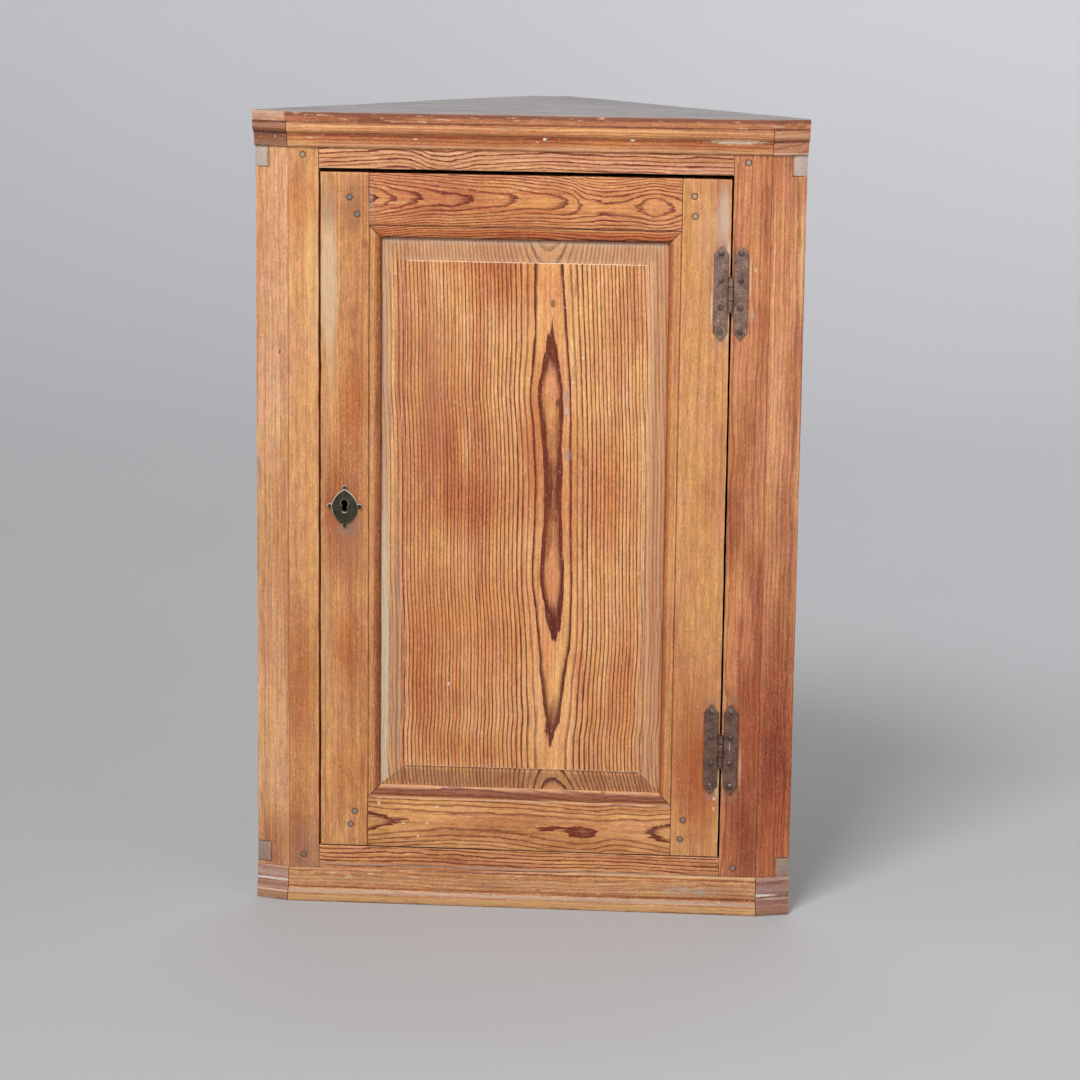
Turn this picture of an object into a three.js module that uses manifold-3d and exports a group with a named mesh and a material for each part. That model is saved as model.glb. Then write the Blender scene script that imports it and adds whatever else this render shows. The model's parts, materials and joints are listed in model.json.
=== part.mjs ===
import * as THREE from 'three';
import { mergeVertices } from 'three/addons/utils/BufferGeometryUtils.js';
import Module from 'manifold-3d';

const wasm = await Module();
wasm.setup();

// A pine corner cupboard with one framed and panelled door.
// All sizes are in millimetres. X runs to the right, Y to the back and Z up.
// Pieces are laid out with the front face of the frame and of the closed door at Y = 0.

// Overall plan and height
const totalHeight = 902;
const frontWidth = 534;
const returnRun = 38.3;
const returnSetback = 12.2;
const rearSlatWidth = 44;

// Boards of the carcass
const frameThickness = 22;
const wallThickness = 13;
const rearSlatThickness = 13;
const topBoardThickness = 11;
const ceilingThickness = 23;
const floorThickness = 23;
const shelfThickness = 18;

// Front frame around the door opening
const leftStileWidth = 34;
const rightStileWidth = 41.6;
const openingBottom = 64.5;
const friezeHeight = 51.5;
const bottomRailHeight = 46;

// Mouldings
const corniceHeight = 28.5;
const baseMouldingHeights = { left: 37.5, right: 43.3 };
const mouldingProjection = 8;

// Door
const doorThickness = 22;
const doorGapLeft = 2.2;
const doorGapRight = 2;
const doorGapTop = 4.4;
const doorGapBottom = 1.2;
const doorStileFlat = 53.8;
const doorTopRailFlat = 58;
const doorBottomRailFlat = 57.5;
const stickingWidth = 14;

// Clearances
const jointGap = 0.3;
const overrun = 2;

// Widths and heights that follow from the sizes above
const outerWidth = frontWidth + 2 * returnRun;
const wallReach = outerWidth / 2 + returnSetback;
const rearFace = wallReach - rearSlatWidth / 2;
const carcassTop = totalHeight - topBoardThickness;
const openingTop = carcassTop - friezeHeight;
const openingLeft = leftStileWidth - frontWidth / 2;
const openingRight = frontWidth / 2 - rightStileWidth;
const doorLeft = openingLeft + doorGapLeft;
const doorRight = openingRight - doorGapRight;
const doorBottom = openingBottom + doorGapBottom;
const doorTop = openingTop - doorGapTop;

// The inner edges of the flat faces of the door's stiles and rails
const flatLeft = doorLeft + doorStileFlat;
const flatRight = doorRight - doorStileFlat;
const flatBottom = doorBottom + doorBottomRailFlat;
const flatTop = doorTop - doorTopRailFlat;

// Lines in plan. A line keeps the side behind its outward normal (nx, ny), up to its reach.
function line(nx, ny, x, y) {
  const length = Math.hypot(nx, ny);
  return { nx: nx / length, ny: ny / length, reach: (nx * x + ny * y) / length };
}

// Keeps what lies at least this deep below a face
const from = (face, depth) => ({ nx: face.nx, ny: face.ny, reach: face.reach - depth });

// Keeps what lies no deeper than this below a face
const upTo = (face, depth) => ({ nx: -face.nx, ny: -face.ny, reach: depth - face.reach });

function meet(a, b) {
  const cross = a.nx * b.ny - a.ny * b.nx;
  const x = (a.reach * b.ny - b.reach * a.ny) / cross;
  const y = (a.nx * b.reach - b.nx * a.reach) / cross;
  return new THREE.Vector2(x, y);
}

// The mitre that ends a board lying along its own face where that meets the next face
function mitre(own, next) {
  const corner = meet(own, next);
  return from(line(next.nx - own.nx, next.ny - own.ny, corner.x, corner.y), jointGap / 2);
}

// The convex outline that a set of lines leaves
function outlineWithin(lines) {
  const far = 2 * outerWidth;
  const frame = [[-far, -far], [far, -far], [far, far], [-far, far]];
  let points = frame.map(([x, y]) => new THREE.Vector2(x, y));
  lines.forEach((edge) => {
    const depth = (point) => edge.reach - edge.nx * point.x - edge.ny * point.y;
    points = points.flatMap((point, index) => {
      const next = points[(index + 1) % points.length];
      const here = depth(point);
      const there = depth(next);
      const kept = here >= 0 ? [point] : [];
      return here * there < 0 ? [...kept, point.clone().lerp(next, here / (here - there))] : kept;
    });
  });
  return points;
}

// Faces of the cupboard in plan
const frontFace = line(0, -1, 0, 0);
const rearSlatFace = line(0, 1, 0, rearFace);
const returnFace = (side) => line(side * returnSetback, -returnRun, side * frontWidth / 2, 0);
const wallFace = (side) => line(side, 1, 0, wallReach);

// Sets the two ends of a unit body exactly, so that boards that touch share one plane
function setEnds(geometry, axis, low, high) {
  const places = geometry.attributes.position;
  for (let i = 0; i < places.count; i += 1) {
    places.setComponent(i, axis, places.getComponent(i, axis) < 0 ? low : high);
  }
  return geometry;
}

const arcSteps = 6;

const unitExtrusion = (shape) =>
  new THREE.ExtrudeGeometry(shape, { depth: 1, bevelEnabled: false, curveSegments: arcSteps })
    .translate(0, 0, -1 / 2);

// A board with its outline in plan, from one height to another
const board = (points, low, high) => setEnds(unitExtrusion(new THREE.Shape(points)), 2, low, high);

// A plate with its outline in the front plane, from one Y to another
const plate = (shape, front, back) =>
  setEnds(unitExtrusion(shape).rotateX(Math.PI / 2), 1, front, back);

function block(x, y, z) {
  const geometry = new THREE.BoxGeometry(1, 1, 1);
  [x, y, z].forEach(([low, high], axis) => setEnds(geometry, axis, low, high));
  return geometry;
}

// A round bar along Y
function dowel(radius, front, back, sides) {
  return setEnds(new THREE.CylinderGeometry(radius, radius, 1, sides), 1, front, back);
}

// A closed body through rings of points that all follow one section
function loft(section, rings) {
  const count = section.length;
  const last = (rings.length - 1) * count;
  const turn = (a, b, c) => (b.x - a.x) * (c.y - a.y) - (b.y - a.y) * (c.x - a.x);
  const turnsLeft = THREE.ShapeUtils.area(section) > 0;
  const faces = THREE.ShapeUtils.triangulateShape(section, []).flatMap(([a, b, c]) => {
    const follows = turn(section[a], section[b], section[c]) > 0 === turnsLeft;
    const cap = follows ? [a, b, c] : [a, c, b];
    return [cap, [last + cap[0], last + cap[2], last + cap[1]]];
  });
  for (let ring = 0; ring < last; ring += count) {
    for (let i = 0; i < count; i += 1) {
      const j = (i + 1) % count;
      faces.push([ring + j, ring + i, ring + count + i], [ring + j, ring + count + i, ring + count + j]);
    }
  }
  const points = rings.flat();
  const signedVolume = ([a, b, c]) => points[a].dot(points[b].clone().cross(points[c]));
  const volume = faces.reduce((sum, face) => sum + signedVolume(face), 0);
  const geometry = new THREE.BufferGeometry().setFromPoints(points);
  geometry.setIndex(faces.flatMap(([a, b, c]) => (volume > 0 ? [a, b, c] : [a, c, b])));
  return geometry;
}

// Joins and cuts
function closedBody(geometry) {
  const bare = geometry.clone();
  bare.deleteAttribute('normal');
  bare.deleteAttribute('uv');
  return mergeVertices(bare);
}

function toSolid(geometry) {
  const body = closedBody(geometry);
  return new wasm.Manifold(new wasm.Mesh({
    numProp: 3,
    vertProperties: new Float32Array(body.attributes.position.array),
    triVerts: new Uint32Array(body.index.array),
  }));
}

function toGeometry(solid) {
  const mesh = solid.getMesh();
  const geometry = new THREE.BufferGeometry();
  geometry.setAttribute('position', new THREE.BufferAttribute(mesh.vertProperties, mesh.numProp));
  geometry.setIndex(new THREE.BufferAttribute(mesh.triVerts, 1));
  return geometry;
}

function fuse(...parts) {
  return toGeometry(parts.map(toSolid).reduce((sum, part) => sum.add(part)));
}

function cut(body, ...tools) {
  return toGeometry(tools.map(toSolid).reduce((rest, tool) => rest.subtract(tool), toSolid(body)));
}

// Finishes: each piece has its own shade of pine, iron or brass
const pine = (color) => new THREE.MeshStandardMaterial({ color, roughness: 0.62, metalness: 0 });
const iron = (color) => new THREE.MeshStandardMaterial({ color, roughness: 0.55, metalness: 0.8 });
const brass = (color) => new THREE.MeshStandardMaterial({ color, roughness: 0.45, metalness: 0.9 });

const cupboard = new THREE.Group();
const carcass = new THREE.Group();
const door = new THREE.Group();
cupboard.add(carcass, door);

function piece(parent, name, geometry, finish, x = 0, y = 0, z = 0) {
  const mesh = new THREE.Mesh(closedBody(geometry), finish);
  mesh.name = name;
  mesh.position.set(x, y, z);
  parent.add(mesh);
}

const flanks = [{ side: -1, word: 'left' }, { side: 1, word: 'right' }];

// Pegs that lock a tenon in its mortise
const pegDiameter = 6.6;
const pegSides = 10;
const pegProud = 0.4;
const pegTail = 3;

function addPeg(parent, name, [x, z], thickness, shade) {
  const peg = dowel(pegDiameter / 2, -pegProud, thickness - pegTail, pegSides);
  piece(parent, name, peg, pine(shade), x, 0, z);
}

const pegHole = ([x, z], thickness) =>
  dowel(pegDiameter / 2 + jointGap, -overrun, thickness - pegTail + jointGap, pegSides).translate(x, 0, z);

// Tenons lie in the middle of the wood's thickness
const tenonThickness = 8;
const tenonShoulder = 6;
const frameTenonLength = 26;
const doorTenonLength = 42;

function tenon(ends, thickness, [low, high], clearance) {
  const half = tenonThickness / 2 + clearance;
  return block(
    [Math.min(...ends), Math.max(...ends)],
    [thickness / 2 - half, thickness / 2 + half],
    [low + tenonShoulder - clearance, high - tenonShoulder + clearance],
  );
}

// The carcass: front frame, canted returns, walls, floor and ceiling
const friezeSpan = [openingTop, carcassTop];
const bottomRailSpan = [openingBottom - bottomRailHeight, openingBottom];
const framePegInsetShares = { left: 0.52, right: 0.37 };
const friezePegShare = 0.28;
const bottomPegShare = 0.75;

function framePegPlaces(side) {
  const edge = side < 0 ? openingLeft : openingRight;
  const inset = side < 0
    ? leftStileWidth * framePegInsetShares.left
    : rightStileWidth * framePegInsetShares.right;
  return [
    [edge + side * inset, THREE.MathUtils.lerp(...friezeSpan, friezePegShare)],
    [edge + side * inset, THREE.MathUtils.lerp(...bottomRailSpan, bottomPegShare)],
  ];
}

function frameStile(side) {
  const edge = side < 0 ? openingLeft : openingRight;
  const outline = outlineWithin([
    frontFace, upTo(frontFace, frameThickness), mitre(frontFace, returnFace(side)), line(-side, 0, edge, 0),
  ]);
  const mortiseEnds = [edge - side * overrun, edge + side * (frameTenonLength + jointGap)];
  const mortises = [friezeSpan, bottomRailSpan]
    .map((span) => tenon(mortiseEnds, frameThickness, span, jointGap));
  const holes = framePegPlaces(side).map((place) => pegHole(place, frameThickness));
  return cut(board(outline, 0, carcassTop), ...mortises, ...holes);
}

function frameRail(span, pegIndex) {
  const body = block([openingLeft + jointGap, openingRight - jointGap], [0, frameThickness], span);
  const tenonEnds = [openingLeft - frameTenonLength, openingRight + frameTenonLength];
  const tongue = tenon(tenonEnds, frameThickness, span, 0);
  const holes = flanks.map(({ side }) => pegHole(framePegPlaces(side)[pegIndex], frameThickness));
  return cut(fuse(body, tongue), ...holes);
}

// The ears of floor and ceiling come through the returns, where their end grain shows
const earWidth = 15;
const earRun = 40;
const ceilingSpan = [openingTop, openingTop + ceilingThickness];
const floorSpan = [openingBottom - floorThickness, openingBottom];

function ear(side, [low, high], clearance) {
  const out = clearance > 0 ? -overrun : 0;
  const outline = outlineWithin([
    from(wallFace(side), out),
    upTo(wallFace(side), earWidth + clearance),
    from(returnFace(side), out),
    upTo(returnFace(side), frameThickness + earRun + clearance),
  ]);
  return board(outline, low - clearance, high + clearance);
}

const earPockets = (side) => [ceilingSpan, floorSpan].map((span) => ear(side, span, jointGap));

function cantedReturn(side) {
  const own = returnFace(side);
  const outline = outlineWithin([own, upTo(own, frameThickness), mitre(own, frontFace), wallFace(side)]);
  return cut(board(outline, 0, carcassTop), ...earPockets(side));
}

// The space inside the walls, from a depth behind the front face
const insideWalls = (depth) => outlineWithin([
  from(frontFace, depth),
  from(rearSlatFace, rearSlatThickness + jointGap),
  ...flanks.flatMap(({ side }) => [
    from(returnFace(side), frameThickness + jointGap),
    from(wallFace(side), wallThickness + jointGap),
  ]),
]);

function earedBoard(span) {
  const body = board(insideWalls(frameThickness + jointGap), ...span);
  return fuse(body, ...flanks.map(({ side }) => ear(side, span, 0)));
}

// Each wall is two planks, joined by a tongue in a groove
const plankSplitShare = 0.5;
const tongueThickness = 4;
const tongueLength = 6;

function wallPlanks(side) {
  const face = wallFace(side);
  const front = meet(face, from(returnFace(side), frameThickness + jointGap));
  const rear = meet(face, rearSlatFace);
  const middle = front.clone().lerp(rear, plankSplitShare);
  const seam = line(-side, 1, middle.x, middle.y);
  const strip = [face, upTo(face, wallThickness)];
  const frontEnd = from(returnFace(side), frameThickness + jointGap);
  const rearEnd = mitre(face, rearSlatFace);
  const tongueOutline = (clearance) => outlineWithin([
    from(face, (wallThickness - tongueThickness) / 2 - clearance),
    upTo(face, (wallThickness + tongueThickness) / 2 + clearance),
    from(seam, -tongueLength - clearance),
    upTo(seam, overrun),
  ]);
  const frontPlank = board(outlineWithin([...strip, frontEnd, seam]), 0, carcassTop);
  const rearPlank = board(outlineWithin([...strip, upTo(seam, -jointGap), rearEnd]), 0, carcassTop);
  const groove = board(tongueOutline(jointGap), -overrun, carcassTop + overrun);
  return [
    cut(fuse(frontPlank, board(tongueOutline(0), 0, carcassTop)), ...earPockets(side)),
    cut(rearPlank, groove),
  ];
}

function rearSlat() {
  const outline = outlineWithin([
    rearSlatFace,
    upTo(rearSlatFace, rearSlatThickness),
    ...flanks.map(({ side }) => mitre(rearSlatFace, wallFace(side))),
  ]);
  return board(outline, 0, carcassTop);
}

// Shelves rest on a bearer nailed to each wall; their front edges stop the door
const shelfHeightShares = { lower: 1 / 3, upper: 2 / 3 };
const doorStopGap = 1.2;
const bearerWidth = 14;
const bearerHeight = 20;
const bearerEndGap = 26;

function addShelf(name, share) {
  const top = THREE.MathUtils.lerp(openingBottom, openingTop, share);
  const underside = top - shelfThickness;
  const outline = insideWalls(doorThickness + doorStopGap);
  piece(carcass, `shelf_${name}`, board(outline, underside, top), pine(0xb98a58));
  flanks.forEach(({ side, word }) => {
    const bearer = board(outlineWithin([
      from(wallFace(side), wallThickness + jointGap),
      upTo(wallFace(side), wallThickness + jointGap + bearerWidth),
      from(returnFace(side), frameThickness + jointGap + bearerEndGap),
      from(rearSlatFace, rearSlatThickness + bearerEndGap),
    ]), underside - bearerHeight, underside);
    piece(carcass, `shelf_bearer_${name}_${word}`, bearer, pine(0xa87a4c));
  });
}

// Mouldings: a fillet at the outer edge, a curve below it and a leaning flat.
// The base moulding is the cornice turned upside down, with a taller flat.
const filletHeight = 8.8;
const curveHeight = 6.4;
const curveSteps = 5;
const flatStartShare = 0.54;
const flatEndShare = 0.34;
const toeRound = 1;

function mouldingSection(edge, toward) {
  const height = Math.abs(toward - edge);
  const rise = Math.sign(toward - edge);
  const flatStart = mouldingProjection * flatStartShare;
  const flatEnd = mouldingProjection * flatEndShare;
  const points = [[jointGap, 0], [mouldingProjection, 0]];
  for (let step = 0; step <= curveSteps; step += 1) {
    const t = step / curveSteps;
    const drop = THREE.MathUtils.smoothstep(t, 0, 1);
    points.push([
      mouldingProjection + (flatStart - mouldingProjection) * drop,
      filletHeight + curveHeight * t,
    ]);
  }
  points.push([flatEnd, height - toeRound], [flatEnd - toeRound, height], [jointGap, height]);
  return points.map(([out, up]) => new THREE.Vector2(out, edge + rise * up));
}

// A moulding runs along a face from one section to another, cut at both ends by lines in plan
function moulding(sections, face, ends) {
  const rings = ends.map((end, index) => sections[index].map((point) => {
    const place = meet(from(face, -point.x), end);
    return new THREE.Vector3(place.x, place.y, point.y);
  }));
  return loft(sections[0], rings);
}

// The cornice ends square to the return, and the base moulding in line with its outer edge
const returnEnd = (side) =>
  line(side * returnRun, returnSetback, side * outerWidth / 2, returnSetback);
const outerSide = (side) => line(side, 0, side * outerWidth / 2, 0);

function addMouldings(name, sections, sideEnd, shades) {
  const frontEnds = flanks.map(({ side }) => mitre(frontFace, returnFace(side)));
  const front = moulding([sections.left, sections.right], frontFace, frontEnds);
  piece(carcass, `${name}_front`, front, pine(shades.front));
  flanks.forEach(({ side, word }) => {
    const ends = [mitre(returnFace(side), frontFace), sideEnd(side)];
    const flank = moulding([sections[word], sections[word]], returnFace(side), ends);
    piece(carcass, `${name}_${word}`, flank, pine(shades[word]));
  });
}

// The top board lies over the cornice and the walls
function topBoard() {
  const outline = outlineWithin([
    from(frontFace, -mouldingProjection),
    rearSlatFace,
    ...flanks.flatMap(({ side }) => {
      const edge = from(returnFace(side), -mouldingProjection);
      const corner = meet(edge, returnEnd(side));
      return [edge, wallFace(side), line(side, 0, corner.x, 0)];
    }),
  ]);
  return board(outline, carcassTop, totalHeight);
}

function addCarcass() {
  piece(carcass, 'top_board', topBoard(), pine(0x9c8d80));
  const cornice = mouldingSection(carcassTop, carcassTop - corniceHeight);
  addMouldings('cornice', { left: cornice, right: cornice }, returnEnd,
    { front: 0xc08850, left: 0x8f5f45, right: 0xa96f4c });
  const base = {
    left: mouldingSection(0, baseMouldingHeights.left),
    right: mouldingSection(0, baseMouldingHeights.right),
  };
  addMouldings('base_moulding', base, outerSide,
    { front: 0xa87045, left: 0x8d6a55, right: 0x85604f });
  piece(carcass, 'frame_stile_left', frameStile(-1), pine(0xb27a4a));
  piece(carcass, 'frame_stile_right', frameStile(1), pine(0xa2623f));
  piece(carcass, 'frieze_rail', frameRail(friezeSpan, 0), pine(0xb98456));
  piece(carcass, 'bottom_rail', frameRail(bottomRailSpan, 1), pine(0xb57b47));
  piece(carcass, 'canted_return_left', cantedReturn(-1), pine(0xbf8750));
  piece(carcass, 'canted_return_right', cantedReturn(1), pine(0xa4663f));
  piece(carcass, 'carcass_ceiling', earedBoard(ceilingSpan), pine(0xa89484));
  piece(carcass, 'carcass_floor', earedBoard(floorSpan), pine(0xa08a76));
  flanks.forEach(({ side, word }) => {
    const [frontPlank, rearPlank] = wallPlanks(side);
    piece(carcass, `wall_plank_${word}_front`, frontPlank, pine(0xa3845f));
    piece(carcass, `wall_plank_${word}_rear`, rearPlank, pine(0x9a7b58));
    framePegPlaces(side).forEach((place, index) => {
      addPeg(carcass, `frame_peg_${['upper', 'lower'][index]}_${word}`, place, frameThickness, 0x8f8270);
    });
  });
  piece(carcass, 'rear_corner_slat', rearSlat(), pine(0x94754f));
  Object.entries(shelfHeightShares).forEach(([name, share]) => addShelf(name, share));
}

// The door's sticking: a small quirk at the flat face and a quarter round down to the panel
const quirkDepth = 1.1;
const stickingDepth = 7;
const stickingSteps = 6;
const grooveFront = 8.5;
const grooveWidth = 6.6;
const grooveDepth = 7;

function stickingSection() {
  const points = [[-overrun, doorThickness], [-overrun, 0], [0, 0]];
  for (let step = 0; step <= stickingSteps; step += 1) {
    const angle = (step / stickingSteps) * Math.PI / 2;
    const fall = (stickingDepth - quirkDepth) * (1 - Math.cos(angle));
    points.push([stickingWidth * Math.sin(angle), quirkDepth + fall]);
  }
  const lip = stickingWidth - grooveDepth;
  points.push(
    [stickingWidth, grooveFront], [lip, grooveFront],
    [lip, grooveFront + grooveWidth], [stickingWidth, grooveFront + grooveWidth],
    [stickingWidth, doorThickness],
  );
  return points.map(([into, depth]) => new THREE.Vector2(into, depth));
}

// The sticking runs between two ends that follow the mitre, point by point
function sticking(place, ends) {
  const section = stickingSection();
  const ring = (end) => section.map((point) => place(point.x, point.y, end(Math.max(point.x, 0))));
  return loft(section, ends.map(ring));
}

const topRailSpan = [flatTop, doorTop];
const lowRailSpan = [doorBottom, flatBottom];

// Door pegs, as shares of the stile's flat and of the rail's flat, from the inner corner outwards
const doorPegShares = {
  lock_upper: [[0.4, 0.53], [0.24, 0.21]],
  hinge_upper: [[0.24, 0.67], [0.26, 0.29]],
  lock_lower: [[0.27, 0.3], [0.36, 0.57]],
  hinge_lower: [[0.26, 0.27], [0.2, 0.66]],
};

function doorPegPlaces(side, height) {
  const word = `${side < 0 ? 'lock' : 'hinge'}_${height}`;
  const edge = side < 0 ? flatLeft : flatRight;
  const span = height === 'upper' ? topRailSpan : [flatBottom, doorBottom];
  return doorPegShares[word].map(([across, along]) =>
    [edge + side * doorStileFlat * across, THREE.MathUtils.lerp(...span, along)]);
}

function doorStile(side) {
  const outer = side < 0 ? doorLeft : doorRight;
  const inner = side < 0 ? flatLeft : flatRight;
  const across = [Math.min(outer, inner), Math.max(outer, inner)];
  const flat = block(across, [0, doorThickness], [doorBottom, doorTop]);
  const place = (into, depth, z) => new THREE.Vector3(inner - side * into, depth, z);
  const edge = sticking(place, [(into) => flatBottom + into, (into) => flatTop - into]);
  const ends = [inner - side * overrun, inner + side * (doorTenonLength + jointGap)];
  const mortises = [topRailSpan, lowRailSpan].map((span) => tenon(ends, doorThickness, span, jointGap));
  const pegs = ['upper', 'lower'].flatMap((height) => doorPegPlaces(side, height));
  return cut(fuse(flat, edge), ...mortises, ...pegs.map((peg) => pegHole(peg, doorThickness)));
}

function doorRail(span, height) {
  const inner = height === 'upper' ? flatTop : flatBottom;
  const toPanel = height === 'upper' ? -1 : 1;
  const flat = block([flatLeft + jointGap, flatRight - jointGap], [0, doorThickness], span);
  const place = (into, depth, x) => new THREE.Vector3(x, depth, inner + toPanel * into);
  const edge = sticking(place, [
    (into) => flatLeft + jointGap + into, (into) => flatRight - jointGap - into,
  ]);
  const ends = [flatLeft - doorTenonLength, flatRight + doorTenonLength];
  const pegs = flanks.flatMap(({ side }) => doorPegPlaces(side, height));
  const body = fuse(flat, edge, tenon(ends, doorThickness, span, 0));
  return cut(body, ...pegs.map((peg) => pegHole(peg, doorThickness)));
}

// The fielded panel slides in the grooves of stiles and rails
const panelEdgeGap = 1;
const fieldMarginLock = 28;
const fieldMargin = 24;
const fieldSetback = 3.2;
const fieldStep = 1.8;

function doorPanel() {
  const rectangle = (left, right, low, high, y) => {
    const corners = [[left, low], [right, low], [right, high], [left, high]];
    return corners.map(([x, z]) => new THREE.Vector3(x, y, z));
  };
  const sight = stickingWidth;
  const ring = (grow, y) => rectangle(
    flatLeft + sight - grow, flatRight - sight + grow, flatBottom + sight - grow, flatTop - sight + grow, y);
  const field = (y) => rectangle(
    flatLeft + sight + fieldMarginLock, flatRight - sight - fieldMargin,
    flatBottom + sight + fieldMargin, flatTop - sight - fieldMargin, y);
  const front = grooveFront + jointGap;
  const back = grooveFront + grooveWidth - jointGap;
  const rings = [
    ring(grooveDepth - panelEdgeGap, back), ring(grooveDepth - panelEdgeGap, front), ring(0, front),
    field(fieldSetback + fieldStep), field(fieldSetback),
  ];
  return loft(rings[0].map((point) => new THREE.Vector2(point.x, point.z)), rings);
}

// The lock: escutcheon in front, keyhole through the stile, box lock on the back of the door
const escutcheonShare = 0.5088;
const keyX = doorLeft + doorStileFlat * escutcheonShare;
const plateLift = 8.7;
const plateZ = (openingBottom + openingTop) / 2 + plateLift;
const plateWidth = 30.6;
const plateTop = 19.6;
const plateFoot = 20.2;
const plateThickness = 2.2;
const plateBevel = 0.9;
const lobeRadius = 3;
const lobeSides = 12;
const lobeThickness = 1.7;

const keyholeLift = 3.3;
const keyholeRadius = 4.3;
const keySlotWidth = 5.9;
const keySlotDrop = 10.4;
const keyholeSides = 14;
const keyholeZ = plateZ + keyholeLift;

// The keyhole as a cutter around its own round centre
function keyhole(clearance, front, back) {
  const slot = keySlotWidth / 2 + clearance;
  const slotFoot = keySlotWidth / 2 - keySlotDrop;
  return fuse(
    dowel(keyholeRadius + clearance, front, back, keyholeSides),
    block([-slot, slot], [front, back], [slotFoot, 0]),
    dowel(slot, front, back, keyholeSides).translate(0, 0, slotFoot),
  );
}

// A pointed oval with four round lobes, pierced by the keyhole
const ovalSteps = 8;
const bevelSteps = 2;
const shoulderShares = { across: 0.82, up: 0.67 };
const footShares = { across: 0.56, up: 0.45 };

function escutcheon() {
  const half = plateWidth / 2 - plateBevel;
  const top = plateTop - plateBevel;
  const foot = plateBevel - plateFoot;
  const oval = new THREE.Shape();
  oval.moveTo(0, top);
  oval.quadraticCurveTo(half * shoulderShares.across, top * shoulderShares.up, half, 0);
  oval.bezierCurveTo(half, foot * footShares.up, half * footShares.across, foot, 0, foot);
  oval.bezierCurveTo(-half * footShares.across, foot, -half, foot * footShares.up, -half, 0);
  oval.quadraticCurveTo(-half * shoulderShares.across, top * shoulderShares.up, 0, top);
  const body = new THREE.ExtrudeGeometry(oval, {
    depth: plateThickness - plateBevel,
    bevelThickness: plateBevel,
    bevelSize: plateBevel,
    bevelSegments: bevelSteps,
    curveSegments: ovalSteps,
  }).rotateX(Math.PI / 2);
  const upDown = [-plateFoot - overrun, plateTop + overrun];
  const behind = block([-plateWidth, plateWidth], [0, plateThickness], upDown);
  const reach = lobeRadius / 2;
  const lobes = [
    [0, plateTop + reach], [0, -plateFoot - reach],
    [plateWidth / 2 + reach, 0], [-plateWidth / 2 - reach, 0],
  ];
  const studs = lobes.map(([x, z]) => dowel(lobeRadius, -lobeThickness, 0, lobeSides).translate(x, 0, z));
  const hole = keyhole(0, -plateThickness - overrun, overrun).translate(0, 0, keyholeLift);
  return cut(fuse(body, ...studs), behind, hole);
}

// The box lock: a case open towards the door, a sliding bolt, its spring and the drill pin
const caseWidth = 50;
const caseHeight = 64;
const caseDepth = 11;
const caseWall = 1.5;
const caseEdgeGap = 0.5;
const boltHeight = 10.4;
const boltThickness = 5.2;
const boltLength = 38;
const boltLift = 6;
const boltSetback = 2.4;
const talonWidth = 9;
const talonDepth = 5;
const pinDiameter = 3;
const pinLength = 19;
const springThickness = 0.8;
const springWidth = 4;
const springSteps = 8;
const caseLeft = doorLeft + caseEdgeGap;
const caseBack = doorThickness + caseDepth;
const boltSpan = [keyholeZ + boltLift, keyholeZ + boltLift + boltHeight];
const boltFront = doorThickness + boltSetback;

function lockCase() {
  const x = [caseLeft, caseLeft + caseWidth];
  const z = [plateZ - caseHeight / 2, plateZ + caseHeight / 2];
  const grow = ([low, high], by) => [low - by, high + by];
  const inside = [doorThickness - overrun, caseBack - caseWall];
  const hollow = block(grow(x, -caseWall), inside, grow(z, -caseWall));
  const slot = block([caseLeft - overrun, caseLeft + overrun + caseWall],
    grow([boltFront, boltFront + boltThickness], jointGap), grow(boltSpan, jointGap));
  const pinRadius = pinDiameter / 2 + jointGap;
  const pinHole = dowel(pinRadius, caseBack - caseDepth / 2, caseBack + overrun, keyholeSides)
    .translate(keyX, 0, keyholeZ);
  return cut(block(x, [doorThickness, caseBack], z), hollow, slot, pinHole);
}

function lockBolt() {
  const body = block([caseLeft, caseLeft + boltLength], [boltFront, boltFront + boltThickness], boltSpan);
  const talon = block(
    [keyX - talonWidth / 2, keyX + talonWidth / 2],
    [boltFront - overrun, boltFront + boltThickness + overrun],
    [boltSpan[0] - overrun, boltSpan[0] + talonDepth],
  );
  return cut(body, talon);
}

// A bowed leaf spring: its ends bear on the case and its middle on the bolt
function lockSpring() {
  const half = boltLength / 2;
  const ceiling = plateZ + caseHeight / 2 - caseWall - jointGap;
  const low = boltSpan[1] + jointGap;
  const bow = ceiling - springThickness - low;
  const curve = Array.from({ length: springSteps + 1 }, (_, step) => {
    const share = 2 * step / springSteps - 1;
    return new THREE.Vector2(half * share, low + bow * share * share);
  });
  const upper = curve.map((point) => new THREE.Vector2(point.x, point.y + springThickness)).reverse();
  const front = boltFront + (boltThickness - springWidth) / 2;
  return plate(new THREE.Shape([...curve, ...upper]), front, front + springWidth)
    .translate(caseLeft + caseWall + jointGap + half, 0, 0);
}

// The strike plate lines the back of the frame stile where the bolt catches
const strikeWidth = 24;
const strikeHeight = 40;
const strikeThickness = 1.2;
const strikeInset = 1;

function strikePlate() {
  const middle = (boltSpan[0] + boltSpan[1]) / 2;
  const right = openingLeft - strikeInset;
  return block([right - strikeWidth, right], [frameThickness, frameThickness + strikeThickness],
    [middle - strikeHeight / 2, middle + strikeHeight / 2]);
}

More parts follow.
